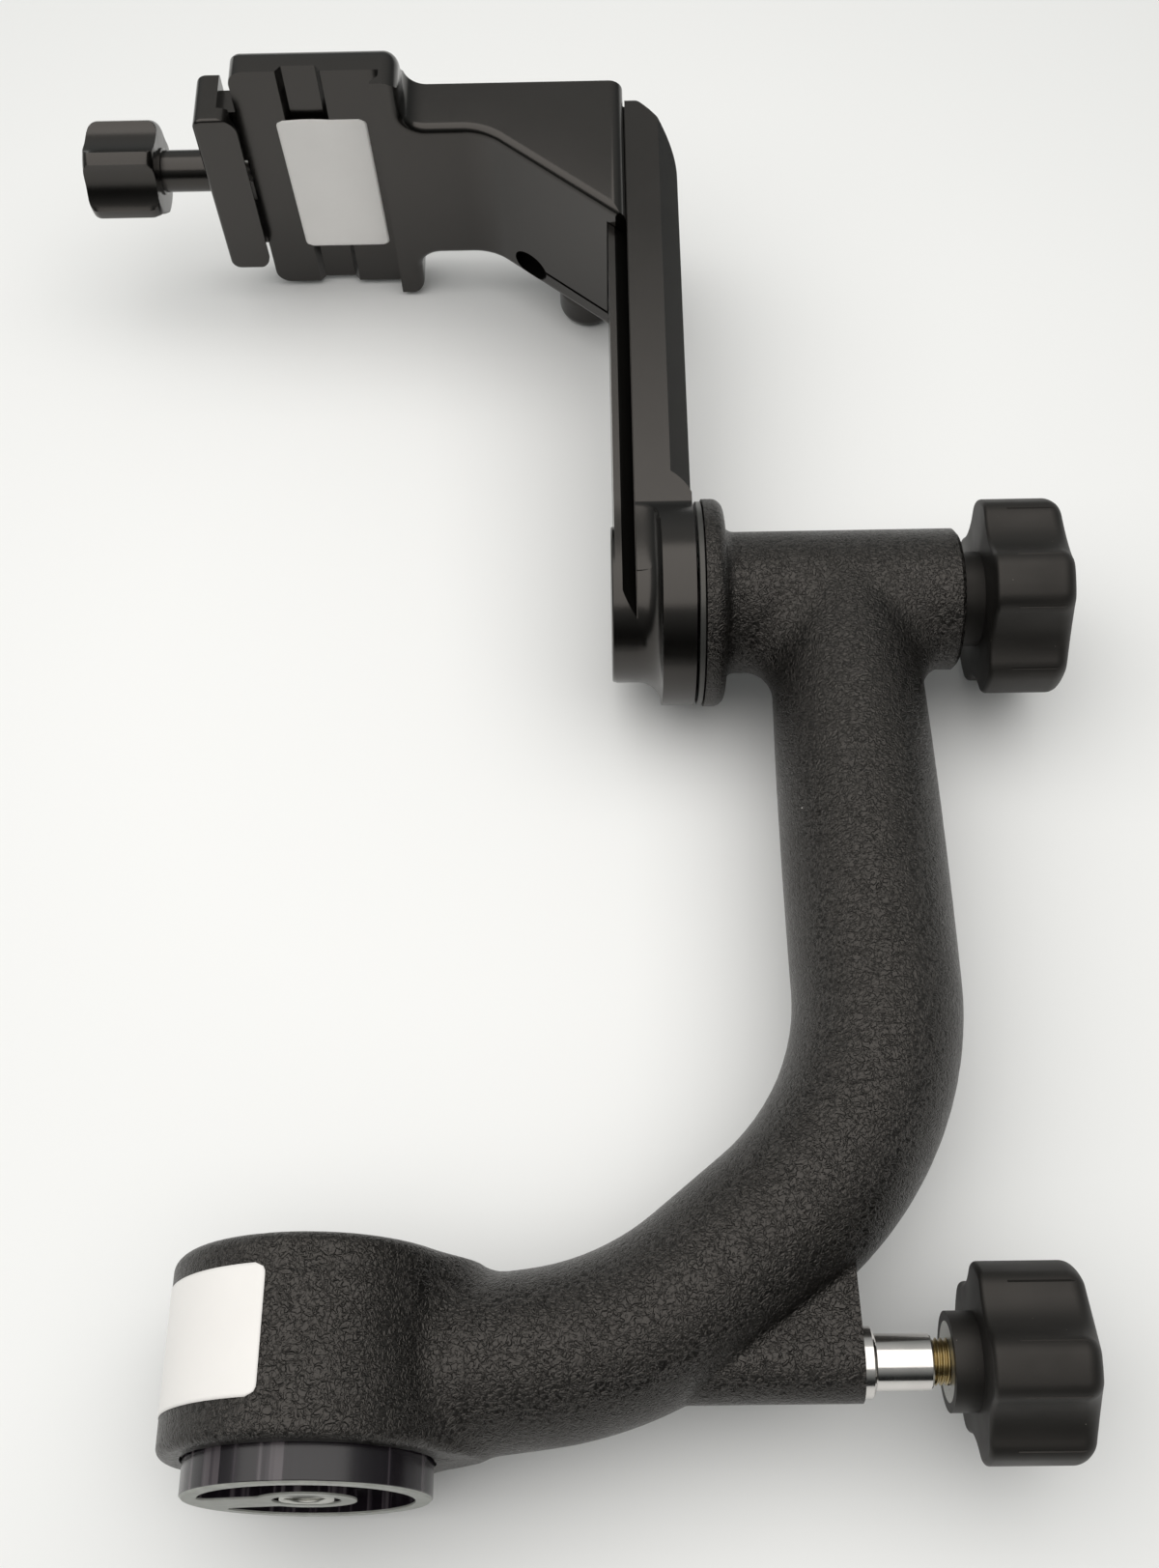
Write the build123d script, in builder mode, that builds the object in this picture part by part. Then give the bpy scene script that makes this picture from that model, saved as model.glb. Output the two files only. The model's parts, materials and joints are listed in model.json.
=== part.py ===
from build123d import *
from math import copysign, cos, radians, sin, sqrt
import os

os.makedirs("parts", exist_ok=True)

# Frame: +Z is the pan axis, the origin is the centre of the foot's bottom face, +X points from
# the pan axis to the upright of the arm, and a lens looks along Y. Millimetres and degrees.

# Fits
press_gap = 0.02            # radial, between pieces that are pressed or screwed together
running_gap = 0.06          # radial, round a shaft that turns or slides in its bore
moving_gap = 0.3            # between faces that pass each other
rod_gap = 0.35              # radial, round the long lock rod in its cored hole

# Foot and tripod thread
foot_radius = 25.0
foot_height = 7.9
foot_rim = 3.4
foot_pocket_depth = 4.5
foot_boss_radius = 10.0
foot_web_width = 12.0
foot_web_angle = 168.0
foot_web_fillet = 2.0
foot_edge = 0.5
insert_radius = 5.46
insert_groove_width = 1.44
insert_groove_depth = 1.2
tripod_thread_radius = 4.763        # 3/8-16, crest of the screw
tripod_bore_radius = 4.0            # 3/8-16, crest of the nut thread
tripod_screw_room = 14.0

# Pan housing and what turns in it
foot_overlap = 0.8                  # how far the foot stands in the housing
foot_side_gap = 0.6
housing_radius = 30.3
housing_height = 39.0
retainer_drop = 0.5
retainer_thickness = 3.3
retainer_slot = 2.0
lower_bearing_outer = 22.0
lower_bearing_inner = 12.0
lower_bearing_height = 7.3
upper_bearing_outer = 17.0
upper_bearing_inner = 9.0
upper_bearing_height = 7.0
spindle_flange_radius = 13.5
drum_radius = 11.5
drum_height = 12.0
spindle_nut_radius = 12.0
spindle_nut_height = 2.7
spindle_thread_radius = 7.5
nut_room = 0.5

# Arm casting: the centre line of its tube in the XZ plane, and the tube's radii
tilt_height = 215.8
arm_reach = 123.1
upper_corner = (122.45, 74.77)
lower_corner = (65.8, 29.3)
tube_root = (20.0, 23.85)
upper_bend = 69.7
lower_bend = 70.1
tube_top_radius = 17.9
tube_upright_radius = 19.0
tube_mid_radius = 18.4
tube_root_radius = 17.9
upright_wide_drop = 32.0            # depth below the tilt axis where the tube is widest
tube_mid_share = 0.66               # share of the centre line where the middle radius lies
root_blend = 9.0
root_blend_reach = 43.0             # x up to which the root's blend is levelled with the housing top
barrel_blend = 10.0
housing_top_edge = 3.0
housing_bottom_edge = 2.0
casting_stock = 60.0                # height of raw block above and below the housing
seam_least = 2.0                    # least extent of a seam that gets a blend

# Tilt barrel, lying along X
flange_start = 87.4
flange_thickness = 5.3
flange_radius = 26.7
flange_edge = 3.0
barrel_radius = 18.2
barrel_end = 152.5
barrel_edge = 1.0
neck_blend = 3.0
tilt_bearing_outer = 14.0
tilt_bearing_width = 8.5
tilt_bearing_spacing = 37.5
tilt_bearing_inset = 1.1
tilt_core_radius = 12.0
washer_thickness = 1.9
washer_radius = 26.3
washer_bore = 15.0

# Screw locks: a knob's stud pushes a shoe, and 3/8-16 studs are used in both
stud_radius = 4.7
lock_travel = 3.175                 # two turns
pan_lock_height = 25.24
lock_rod_radius = 3.9
lock_rod_setback = 4.0              # from the boss's end back to the rod's end
boss_radius = 8.0
boss_end = 111.9
boss_start = 74.0
boss_web_radius = 5.5
boss_web_rise = 18.0                # from the lock's axis to the centre of the web's round top
boss_blend = 2.0
bushing_radius = 5.66
bushing_shank = 12.0
bushing_flange_radius = 7.14
bushing_flange_thickness = 2.3
bushing_sleeve = 11.9
bushing_edge = 0.4
tilt_shoe_radius = 7.0
tilt_shoe_thickness = 3.2
shoe_bevel = 0.6
stud_bevel = 0.8
axle_thread_radius = 7.5
axle_nut_radius = 11.6
axle_nut_width = 4.4

# Five-lobed knobs
knob_lobes = 5
knob_crest_half = 15.5              # degrees
knob_valley_share = 0.82            # valley radius over crest radius
knob_wall = 2.6
knob_front_wall = 4.5
knob_front_edge = 4.0
knob_rim_edge = 1.2
knob_dome = 2.2                     # rise of the front's middle over its rim
knob_rim_setback = 5.5              # from the hub's face back to the open rim
knob_rib = 2.2
knob_rib_drop = 5.0                 # from the open rim down to the ribs
knob_insert_length = 14.5
pan_knob_radius = 20.1
pan_knob_corner = 4.6
pan_hub_gap = 3.4                   # between the bushing and the hub, knob loosened
pan_knob_depth = 23.3
pan_hub_radius = 9.97
pan_insert_radius = 8.0
pan_lobe_angle = 196.0              # from +Y towards +Z
tilt_knob_radius = 25.4
tilt_knob_corner = 5.8
tilt_knob_depth = 21.7
tilt_hub_radius = 12.2
tilt_insert_radius = 9.0
tilt_lobe_angle = 205.0

# Swing arm, in its own frame: x as above, u up the arm from the tilt axis, g across it
swing_lean = 5.4
disc_radius = 26.25
disc_gap = 0.3
disc_thickness = 7.6
hub_radius = 20.2
hub_face = 65.0
hub_length = 5.6
rail_width = 38.0
rail_lip = 1.75
rail_undercut = 3.5
rail_land = 0.15
arm_length = 156.0
arm_bevel = 5.2
bevel_stop_x = 71.0
bevel_stop_u = 16.0
bevel_stop_radius = 15.0
tip_arc_radius = 31.5
tip_arc_drop = 25.0                 # from the tip down to the arc's centre
rail_corner = 2.0
axle_radius = 9.0
axle_head_radius = 13.0
axle_head_thickness = 3.9
cap_radius = 20.0
cap_thickness = 0.9
cap_edge = 0.3

# Platform: gusset with its rail clamp, and the clamp for lens plates
gusset_half_width = 25.4
gusset_knee = 30.2                  # x where the lower face turns down
gusset_slope = 0.83                 # drop of the lower face over its run
gusset_bend = 16.0
gusset_edge = 4.0
hook_flat = 2.8                     # level end of the lower face
hook_depth = 5.1
ridge_radius = 2.6
slot_gap = 0.3
keyhole_x = 42.1
keyhole_radius = 4.6
flexure_wall = 1.2
slit_width = 1.0
clamp_left = -38.7
clamp_right = 8.0
clamp_half_length = 42.1
clamp_thickness = 11.8
clamp_end_edge = 8.0
clamp_corner = 4.5
lip_height = 5.2
lip_tip = 0.8
lip_undercut = 2.2
lip_nose = 0.8
lip_end_radius = 3.4
web_blend = 6.5
channel_left = -25.3
channel_width = 12.4
channel_depth = 2.0
channel_draft = 1.6                 # each wall leans in over its depth

# Jaw and its screw
jaw_travel = 4.7
jaw_thickness = 6.8
jaw_half_length = 30.0
jaw_rise = 0.8                      # over the clamp's top
jaw_tip = -38.4
jaw_corner = 3.0
jaw_tip_corner = 5.0
jaw_edge = 1.0
pin_radius = 2.25
pin_spacing = 47.0
pin_start_wall = 1.2
pin_length = 26.0
lug_inner = 7.9                     # guide lugs on both sides of the screw
lug_outer = 26.3
lug_reach = 0.8
lug_setback = 1.8
screw_depth = 6.0                   # from the clamp's top down to the screw
clamp_screw_radius = 3.175          # 1/4-20
clamp_screw_end = -14.0
neck_radius = 5.9
clamp_knob_radius = 14.25
clamp_knob_start = -66.0
clamp_knob_length = 24.0
clamp_knob_valley = 10.8
clamp_crest_half = 7.6              # degrees
clamp_knob_corner = 2.0
clamp_lobe_angle = 208.7            # from +g towards +u
knob_screw_grip = 14.0
screw_bevel = 0.6
clamp_knob_edge = 1.7

# Lock of the platform on the rail
lock_x = 59.0
lock_drop = 24.0                    # from the platform's top down to the lock
lock_screw_radius = 3.175           # 1/4-20
lock_screw_depth = 28.0
lock_travel_g = 1.27                # one turn
lock_washer_radius = 6.5
lock_washer_thickness = 1.2
lock_knob_radius = 8.6
lock_knob_length = 16.8
lock_waist_radius = 6.5
lock_waist_length = 1.2
lock_flare_end = 5.0
lock_flare_blend = 3.0
lock_knob_edge = 4.5
lock_screw_grip = 10.0

# Heights and places that follow
housing_bottom = foot_height - foot_overlap
housing_top = housing_bottom + housing_height
counterbore_top = foot_height + moving_gap
retainer_bottom = foot_height + retainer_drop
lower_bearing_bottom = retainer_bottom + retainer_thickness
lower_bearing_top = lower_bearing_bottom + lower_bearing_height
drum_top = lower_bearing_top + drum_height
upper_bearing_top = drum_top + upper_bearing_height
spindle_end = upper_bearing_top + moving_gap + spindle_nut_height
nut_ceiling = spindle_end + nut_room
flange_end = flange_start + flange_thickness
left_bearing_start = flange_start + tilt_bearing_inset
left_bearing_end = left_bearing_start + tilt_bearing_width
right_bearing_start = left_bearing_start + tilt_bearing_spacing
right_bearing_end = right_bearing_start + tilt_bearing_width
axle_nut_start = right_bearing_end + moving_gap
axle_end = axle_nut_start + axle_nut_width
tilt_shoe_start = axle_end + moving_gap
tilt_shoe_end = tilt_shoe_start + tilt_shoe_thickness
plug_start = tilt_shoe_end + lock_travel + moving_gap
lock_rod_end = boss_end - lock_rod_setback
bushing_end = boss_end + bushing_flange_thickness + bushing_sleeve
pan_hub_face = bushing_end + pan_hub_gap
pan_rim = pan_hub_face + knob_rim_setback
pan_knob_front = pan_rim + pan_knob_depth
tilt_hub_face = barrel_end + moving_gap
tilt_rim = tilt_hub_face + knob_rim_setback
tilt_knob_front = tilt_rim + tilt_knob_depth
washer_start = flange_start - disc_gap - washer_thickness
disc_end = washer_start - disc_gap
disc_start = disc_end - disc_thickness
body_start = hub_face + rail_lip + rail_undercut + rail_land
rail_half = rail_width / 2
neck_half = rail_half - rail_undercut
flare_radius = disc_radius - hub_radius
tip_arc_centre_u = arm_length - tip_arc_drop
platform_top = arm_length
clamp_floor = platform_top - clamp_thickness
clamp_middle = (platform_top + clamp_floor) / 2
lip_bottom = clamp_floor - lip_height
lip_root_x = lip_tip + lip_undercut
hook_end = hub_face - slot_gap + hook_depth
slot_floor = hub_face - slot_gap
undercut_shift = slot_gap * sqrt(2)
hook_shoulder = hub_face + rail_lip + undercut_shift - slot_gap
hook_inner = rail_half + undercut_shift - (hook_end - hub_face - rail_lip)
gusset_start = (lip_root_x + clamp_right) / 2
gusset_low = lip_bottom - gusset_slope * (hook_end - gusset_knee)
gusset_bottom = gusset_low + gusset_slope * hook_flat
keyhole_g = gusset_half_width - flexure_wall - keyhole_radius
lip_root_u = lip_bottom + lip_nose + lip_undercut
screw_height = platform_top - screw_depth
jaw_inner = clamp_left - moving_gap - jaw_travel
jaw_outer = jaw_inner - jaw_thickness
jaw_top = platform_top + jaw_rise
pin_start = jaw_outer + pin_start_wall
lug_end = clamp_left + lug_reach
lug_width = lug_outer - lug_inner
lug_middle = (lug_inner + lug_outer) / 2
lug_height = clamp_thickness - 2 * lug_setback
clamp_knob_end = clamp_knob_start - clamp_knob_length
lock_u = platform_top - lock_drop
lock_knob_start = gusset_half_width + lock_washer_thickness + press_gap

# Places in the leaning arm's own frame
lean = radians(swing_lean)
arm_frame = Plane(origin=(0, 0, tilt_height), x_dir=(1, 0, 0), z_dir=(0, -sin(lean), cos(lean)))


def across_x(x, z=0.0):
    """Plane that cuts the X direction at x, centred at the height z."""
    return Plane(origin=(x, 0, z), x_dir=(0, 1, 0), z_dir=(1, 0, 0))


def arm_side(g=0.0):
    """Plane for side profiles of the arm: x to the right, u up, facing the front."""
    origin = arm_frame.from_local_coords(Vector(0, g, 0))
    return Plane(origin=origin, x_dir=arm_frame.x_dir, z_dir=-arm_frame.y_dir)


def arm_face(x, g=0.0, u=0.0):
    """Plane that cuts the arm's x direction: g to the right, u up."""
    origin = arm_frame.from_local_coords(Vector(x, g, u))
    return Plane(origin=origin, x_dir=arm_frame.y_dir, z_dir=arm_frame.x_dir)


def arm_level(x, u):
    """Plane that cuts the arm at the height u, centred at x: g is its y direction."""
    origin = arm_frame.from_local_coords(Vector(x, 0, u))
    return Plane(origin=origin, x_dir=arm_frame.x_dir, z_dir=arm_frame.z_dir)


def lock_plane(g):
    """Plane across the platform lock's screw, g out from the arm's middle."""
    origin = arm_frame.from_local_coords(Vector(lock_x, g, lock_u))
    return Plane(origin=origin, x_dir=arm_frame.x_dir, z_dir=arm_frame.y_dir)


def turned(plane, angle):
    """The plane with its x direction turned towards its y direction by the angle."""
    x_dir = plane.x_dir * cos(radians(angle)) + plane.y_dir * sin(radians(angle))
    return Plane(origin=plane.origin, x_dir=x_dir, z_dir=plane.z_dir)


def add_ring(plane, length, outer, inner=0.0, mode=Mode.ADD):
    """A round bar or ring that stands on the plane."""
    with BuildSketch(plane) as section:
        Circle(outer)
        if inner > 0:
            Circle(inner, mode=Mode.SUBTRACT)
    extrude(section.sketch, amount=length, mode=mode)


def add_bearing(plane, length, outer, inner):
    """A shielded ball bearing: the shields lie a little below both faces."""
    shield_depth = 0.4
    race = (outer - inner) / 4
    add_ring(plane, length, outer, inner)
    for face in (plane, plane.offset(length - shield_depth)):
        add_ring(face, shield_depth, outer - race, inner + race, mode=Mode.SUBTRACT)


# Foot: turned disc with a pocketed underside, a centre boss and one web
with BuildPart() as base_foot:
    add_ring(Plane.XY, foot_height, foot_radius)
    chamfer(base_foot.edges().filter_by(GeomType.CIRCLE), foot_edge)
    with BuildSketch(Plane.XY) as foot_pocket:
        Circle(foot_radius - foot_rim)
        Circle(foot_boss_radius, mode=Mode.SUBTRACT)
        with Locations(Rotation(0, 0, foot_web_angle)):
            Rectangle(foot_radius, foot_web_width, align=(Align.MIN, Align.CENTER), mode=Mode.SUBTRACT)
        fillet(foot_pocket.vertices(), foot_web_fillet)
    extrude(amount=foot_pocket_depth, mode=Mode.SUBTRACT)
    add_ring(Plane.XY, foot_height, insert_radius + press_gap, mode=Mode.SUBTRACT)
    add_ring(Plane.XY, insert_groove_depth, insert_radius + insert_groove_width, mode=Mode.SUBTRACT)
base_foot.part.label = "base_foot"
export_step(base_foot.part, "parts/base_foot.step")

# Threaded insert for the tripod's screw
with BuildPart() as thread_insert:
    add_ring(Plane.XY, foot_height, insert_radius, tripod_bore_radius)
    lower_rims = thread_insert.edges().filter_by(GeomType.CIRCLE).group_by(Axis.Z)[0]
    chamfer(lower_rims.sort_by(SortBy.RADIUS)[0], tripod_thread_radius - tripod_bore_radius)
thread_insert.part.label = "thread_insert"
export_step(thread_insert.part, "parts/thread_insert.step")

# Spindle: it stands on the foot, and carries both pan bearings and the brake drum between them
with BuildPart() as pan_spindle:
    add_ring(Plane.XY.offset(foot_height), lower_bearing_bottom - foot_height, spindle_flange_radius)
    add_ring(Plane.XY.offset(lower_bearing_bottom), lower_bearing_height + moving_gap, lower_bearing_inner)
    add_ring(Plane.XY.offset(lower_bearing_top + moving_gap), drum_height - moving_gap, drum_radius)
    add_ring(Plane.XY.offset(drum_top), upper_bearing_height, upper_bearing_inner)
    add_ring(Plane.XY.offset(upper_bearing_top), spindle_end - upper_bearing_top, spindle_thread_radius)
    add_ring(
        Plane.XY.offset(foot_height), tripod_screw_room - foot_height, tripod_thread_radius + moving_gap,
        mode=Mode.SUBTRACT,
    )
pan_spindle.part.label = "pan_spindle"
export_step(pan_spindle.part, "parts/pan_spindle.step")

with BuildPart() as spindle_nut:
    add_ring(
        Plane.XY.offset(upper_bearing_top + moving_gap), spindle_nut_height, spindle_nut_radius,
        spindle_thread_radius + press_gap,
    )
    with BuildSketch(Plane.XY.offset(spindle_end)):
        with PolarLocations(spindle_nut_radius, 4):
            Rectangle(2 * retainer_slot, retainer_slot)
    extrude(amount=-spindle_nut_height / 2, mode=Mode.SUBTRACT)
spindle_nut.part.label = "spindle_nut"
export_step(spindle_nut.part, "parts/spindle_nut.step")

# Pan bearings, and the slotted ring that closes the housing under them
with BuildPart() as pan_bearing_lower:
    add_bearing(
        Plane.XY.offset(lower_bearing_bottom), lower_bearing_height,
        lower_bearing_outer - press_gap, lower_bearing_inner + running_gap,
    )
pan_bearing_lower.part.label = "pan_bearing_lower"
export_step(pan_bearing_lower.part, "parts/pan_bearing_lower.step")

with BuildPart() as pan_bearing_upper:
    add_bearing(
        Plane.XY.offset(drum_top), upper_bearing_height,
        upper_bearing_outer - press_gap, upper_bearing_inner + running_gap,
    )
pan_bearing_upper.part.label = "pan_bearing_upper"
export_step(pan_bearing_upper.part, "parts/pan_bearing_upper.step")

with BuildPart() as bearing_retainer:
    add_ring(
        Plane.XY.offset(retainer_bottom), retainer_thickness,
        lower_bearing_outer - press_gap, spindle_flange_radius + retainer_drop,
    )
    with BuildSketch(Plane.XY.offset(retainer_bottom)):
        with PolarLocations(lower_bearing_outer, 4):
            Rectangle(2 * retainer_slot, retainer_slot)
    extrude(amount=retainer_thickness / 2, mode=Mode.SUBTRACT)
bearing_retainer.part.label = "bearing_retainer"
export_step(bearing_retainer.part, "parts/bearing_retainer.step")

# Arm casting: pan housing, J-shaped tube, pan-lock boss, tilt barrel and its flange in one
with BuildPart() as arm_tube:
    with BuildLine(Plane.XZ) as centre_line:
        FilletPolyline(
            (arm_reach, tilt_height), upper_corner, lower_corner, tube_root,
            radius=(upper_bend, lower_bend),
        )
    path = centre_line.wire()
    for share, radius in (
        (0.0, tube_top_radius),
        (upright_wide_drop / path.length, tube_upright_radius),
        (tube_mid_share, tube_mid_radius),
        (1.0, tube_root_radius),
    ):
        with BuildSketch(Plane(path @ share, x_dir=(0, 1, 0), z_dir=path % share)):
            Circle(radius)
    sweep(path=path, multisection=True)


def is_root_seam(edge):
    """The closed curve where the tube meets the housing's raw block."""
    box = edge.bounding_box()
    return edge.geom_type == GeomType.BSPLINE and box.max.X < root_blend_reach and box.size.Z > seam_least


def is_barrel_seam(edge):
    """The curve where the tube meets the underside of the tilt barrel."""
    box = edge.bounding_box()
    near_barrel = box.min.Z > tilt_height - barrel_radius - barrel_blend
    return edge.geom_type == GeomType.BSPLINE and near_barrel and box.size.X > seam_least


def is_boss_seam(edge):
    """The curves where the pan-lock boss and its web meet the tube."""
    box = edge.bounding_box()
    beside_boss = box.min.X > boss_start - boss_radius and box.max.X < boss_end
    low_enough = box.max.Z < pan_lock_height + 2 * boss_web_rise
    within_web = low_enough and box.size.Y <= 2 * boss_radius and box.size.X > seam_least / 4
    return edge.geom_type == GeomType.BSPLINE and beside_boss and within_web and box.size.Z > seam_least / 2


with BuildPart() as arm_casting:
    add(arm_tube.part)
    add_ring(Plane.XY.offset(-casting_stock), housing_top + 2 * casting_stock, housing_radius)
    fillet([edge for edge in arm_casting.edges() if is_root_seam(edge)], root_blend)
    with BuildSketch(Plane.XY.offset(housing_top)):
        with Locations((root_blend_reach, 0)):
            Rectangle(4 * housing_radius, 4 * housing_radius, align=(Align.MAX, Align.CENTER))
    extrude(amount=2 * casting_stock, mode=Mode.SUBTRACT)
    with BuildSketch(Plane.XY.offset(housing_bottom)):
        Circle(3 * housing_radius)
    extrude(amount=-2 * casting_stock, mode=Mode.SUBTRACT)
    add(arm_tube.part)
    for row, radius in ((-1, housing_top_edge), (0, housing_bottom_edge)):
        rims = arm_casting.edges().filter_by(GeomType.CIRCLE)
        fillet(rims.filter_by(lambda rim: rim.radius == housing_radius).group_by(Axis.Z)[row], radius)
    add_ring(across_x(flange_end, tilt_height), barrel_end - flange_end, barrel_radius)
    fillet([edge for edge in arm_casting.edges() if is_barrel_seam(edge)], barrel_blend)
    with BuildSketch(across_x(boss_start, pan_lock_height)):
        Circle(boss_radius)
        with Locations((0, boss_web_rise)):
            Circle(boss_web_radius)
        make_hull()
    extrude(amount=boss_end - boss_start)
    fillet([edge for edge in arm_casting.edges() if is_boss_seam(edge)], boss_blend)
    # Flange of the tilt barrel, with its rounded rim and neck
    add_ring(across_x(flange_start, tilt_height), flange_thickness, flange_radius)
    rims = arm_casting.edges().filter_by(GeomType.CIRCLE).filter_by_position(Axis.X, flange_start, barrel_end)
    fillet(rims.filter_by(lambda rim: rim.radius == flange_radius).sort_by(Axis.X)[-1], flange_edge)
    rims = arm_casting.edges().filter_by(GeomType.CIRCLE).filter_by_position(
        Axis.X, flange_end - press_gap, flange_end + press_gap,
    )
    fillet(rims.sort_by(SortBy.RADIUS)[0], neck_blend)
    chamfer(arm_casting.edges().filter_by(GeomType.CIRCLE).sort_by(Axis.X)[-1], barrel_edge)
    # Bores for the foot, the pan bearings and the nut
    for bottom, top, radius in (
        (-casting_stock, counterbore_top, foot_radius + foot_side_gap),
        (counterbore_top, lower_bearing_top, lower_bearing_outer),
        (lower_bearing_top, upper_bearing_top, upper_bearing_outer),
        (upper_bearing_top, nut_ceiling, spindle_nut_radius + foot_overlap),
    ):
        add_ring(Plane.XY.offset(bottom), top - bottom, radius, mode=Mode.SUBTRACT)
    # Cored hole for the pan-lock rod, and the seat of its bushing
    add_ring(across_x(0, pan_lock_height), boss_end, lock_rod_radius + rod_gap, mode=Mode.SUBTRACT)
    add_ring(
        across_x(boss_end, pan_lock_height), -bushing_shank, bushing_radius + press_gap, mode=Mode.SUBTRACT,
    )
    # Bores for the axle, its bearings, and the tilt lock
    for start, end, radius in (
        (flange_start, barrel_end, tilt_core_radius),
        (flange_start, left_bearing_end, tilt_bearing_outer),
        (right_bearing_start, barrel_end, tilt_bearing_outer),
    ):
        add_ring(across_x(start, tilt_height), end - start, radius, mode=Mode.SUBTRACT)
arm_casting.part.label = "arm_casting"
export_step(arm_casting.part, "parts/arm_casting.step")

# Pan lock: bushing, push rod with its hollow shoe end, and the knob on its stud
with BuildPart() as pan_lock_bushing:
    add_ring(
        across_x(boss_end - bushing_shank, pan_lock_height), bushing_end - boss_end + bushing_shank,
        bushing_radius, stud_radius + running_gap,
    )
    add_ring(
        across_x(boss_end, pan_lock_height), bushing_flange_thickness,
        bushing_flange_radius, stud_radius + running_gap,
    )
    chamfer(
        pan_lock_bushing.edges().filter_by(GeomType.CIRCLE).filter_by(
            lambda rim: rim.radius > stud_radius + 2 * running_gap and rim.center().X > boss_end + running_gap
        ),
        bushing_edge,
    )
pan_lock_bushing.part.label = "pan_lock_bushing"
export_step(pan_lock_bushing.part, "parts/pan_lock_bushing.step")

with BuildPart() as pan_lock_shoe:
    add_ring(across_x(0, pan_lock_height), lock_rod_end, lock_rod_radius)
    add_ring(Plane.XY, housing_top, drum_radius + moving_gap, mode=Mode.SUBTRACT)
pan_lock_shoe.part.label = "pan_lock_shoe"
export_step(pan_lock_shoe.part, "parts/pan_lock_shoe.step")


def lobed_outline(plane, radius, valley, crest_half, corner):
    """Outline with flat-topped lobes, the first of them along the plane's x direction."""
    pad_edge = radius * cos(radians(180 / knob_lobes - crest_half))
    cutter_x = (radius ** 2 - valley ** 2) / (2 * (pad_edge - valley))
    with BuildSketch(plane) as outline:
        Circle(radius)
        with PolarLocations(cutter_x, knob_lobes, start_angle=180 / knob_lobes):
            Circle(cutter_x - valley, mode=Mode.SUBTRACT)
        fillet(outline.vertices(), corner)
    return outline.sketch


def lobed_knob(radius, corner, rim, front, height, lobe_angle, hub_face, hub_radius, insert_radius):
    """A hollow five-lobed knob about an axis along X, open towards its hub's free end."""
    lobe_plane = turned(across_x(rim, height), lobe_angle)
    outline = lobed_outline(lobe_plane, radius, radius * knob_valley_share, knob_crest_half, corner)
    with BuildPart() as knob:
        extrude(outline, amount=front - rim)
        fillet(knob.faces().sort_by(Axis.X)[0].edges(), knob_rim_edge)
        # The front is slightly domed
        dome_radius = (radius ** 2 + knob_dome ** 2) / (2 * knob_dome)
        with Locations(Vector(front - dome_radius, 0, height)):
            Sphere(dome_radius, rotation=(0, 0, 180), mode=Mode.INTERSECT)
        fillet(knob.faces().sort_by(Axis.X)[-1].edges(), knob_front_edge)
        with BuildSketch(lobe_plane) as hollow:
            add(outline)
            offset(amount=-knob_wall)
        extrude(hollow.sketch, amount=front - knob_front_wall - rim, mode=Mode.SUBTRACT)
        add_ring(across_x(hub_face, height), front - knob_front_wall - hub_face, hub_radius)
        with BuildSketch(across_x(rim + knob_rib_drop, height)) as ribs:
            with PolarLocations(0, knob_lobes, start_angle=lobe_angle):
                Rectangle(radius - knob_wall / 2, knob_rib, align=(Align.MIN, Align.CENTER))
        extrude(ribs.sketch, amount=front - knob_front_wall - rim - knob_rib_drop)
        add_ring(
            across_x(hub_face, height), knob_insert_length, insert_radius + press_gap, mode=Mode.SUBTRACT,
        )
    return knob


def knob_insert(hub_face, height, outer):
    """Metal insert moulded into a knob's hub, round its stud."""
    with BuildPart() as insert:
        add_ring(across_x(hub_face, height), knob_insert_length, outer, stud_radius + press_gap)
    return insert


def knob_stud(start, hub_face, height):
    """Threaded stud with bevelled end, fixed in a knob's insert."""
    with BuildPart() as stud:
        add_ring(across_x(start, height), hub_face + knob_insert_length - start, stud_radius)
        chamfer(stud.edges().filter_by(GeomType.CIRCLE).sort_by(Axis.X)[0], stud_bevel)
    return stud


pan_knob = lobed_knob(
    pan_knob_radius, pan_knob_corner, pan_rim, pan_knob_front, pan_lock_height, pan_lobe_angle,
    pan_hub_face, pan_hub_radius, pan_insert_radius,
)
pan_knob.part.label = "pan_knob"
export_step(pan_knob.part, "parts/pan_knob.step")
pan_knob_insert = knob_insert(pan_hub_face, pan_lock_height, pan_insert_radius)
pan_knob_insert.part.label = "pan_knob_insert"
export_step(pan_knob_insert.part, "parts/pan_knob_insert.step")
pan_knob_stud = knob_stud(lock_rod_end, pan_hub_face, pan_lock_height)
pan_knob_stud.part.label = "pan_knob_stud"
export_step(pan_knob_stud.part, "parts/pan_knob_stud.step")

# Tilt bearings and friction washer
with BuildPart() as tilt_bearing_left:
    add_bearing(
        across_x(left_bearing_start, tilt_height), tilt_bearing_width,
        tilt_bearing_outer - press_gap, axle_radius + running_gap,
    )
tilt_bearing_left.part.label = "tilt_bearing_left"
export_step(tilt_bearing_left.part, "parts/tilt_bearing_left.step")

with BuildPart() as tilt_bearing_right:
    add_bearing(
        across_x(right_bearing_start, tilt_height), tilt_bearing_width,
        tilt_bearing_outer - press_gap, axle_radius + running_gap,
    )
tilt_bearing_right.part.label = "tilt_bearing_right"
export_step(tilt_bearing_right.part, "parts/tilt_bearing_right.step")

with BuildPart() as friction_washer:
    add_ring(across_x(washer_start, tilt_height), washer_thickness, washer_radius, washer_bore)
friction_washer.part.label = "friction_washer"
export_step(friction_washer.part, "parts/friction_washer.step")

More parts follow.
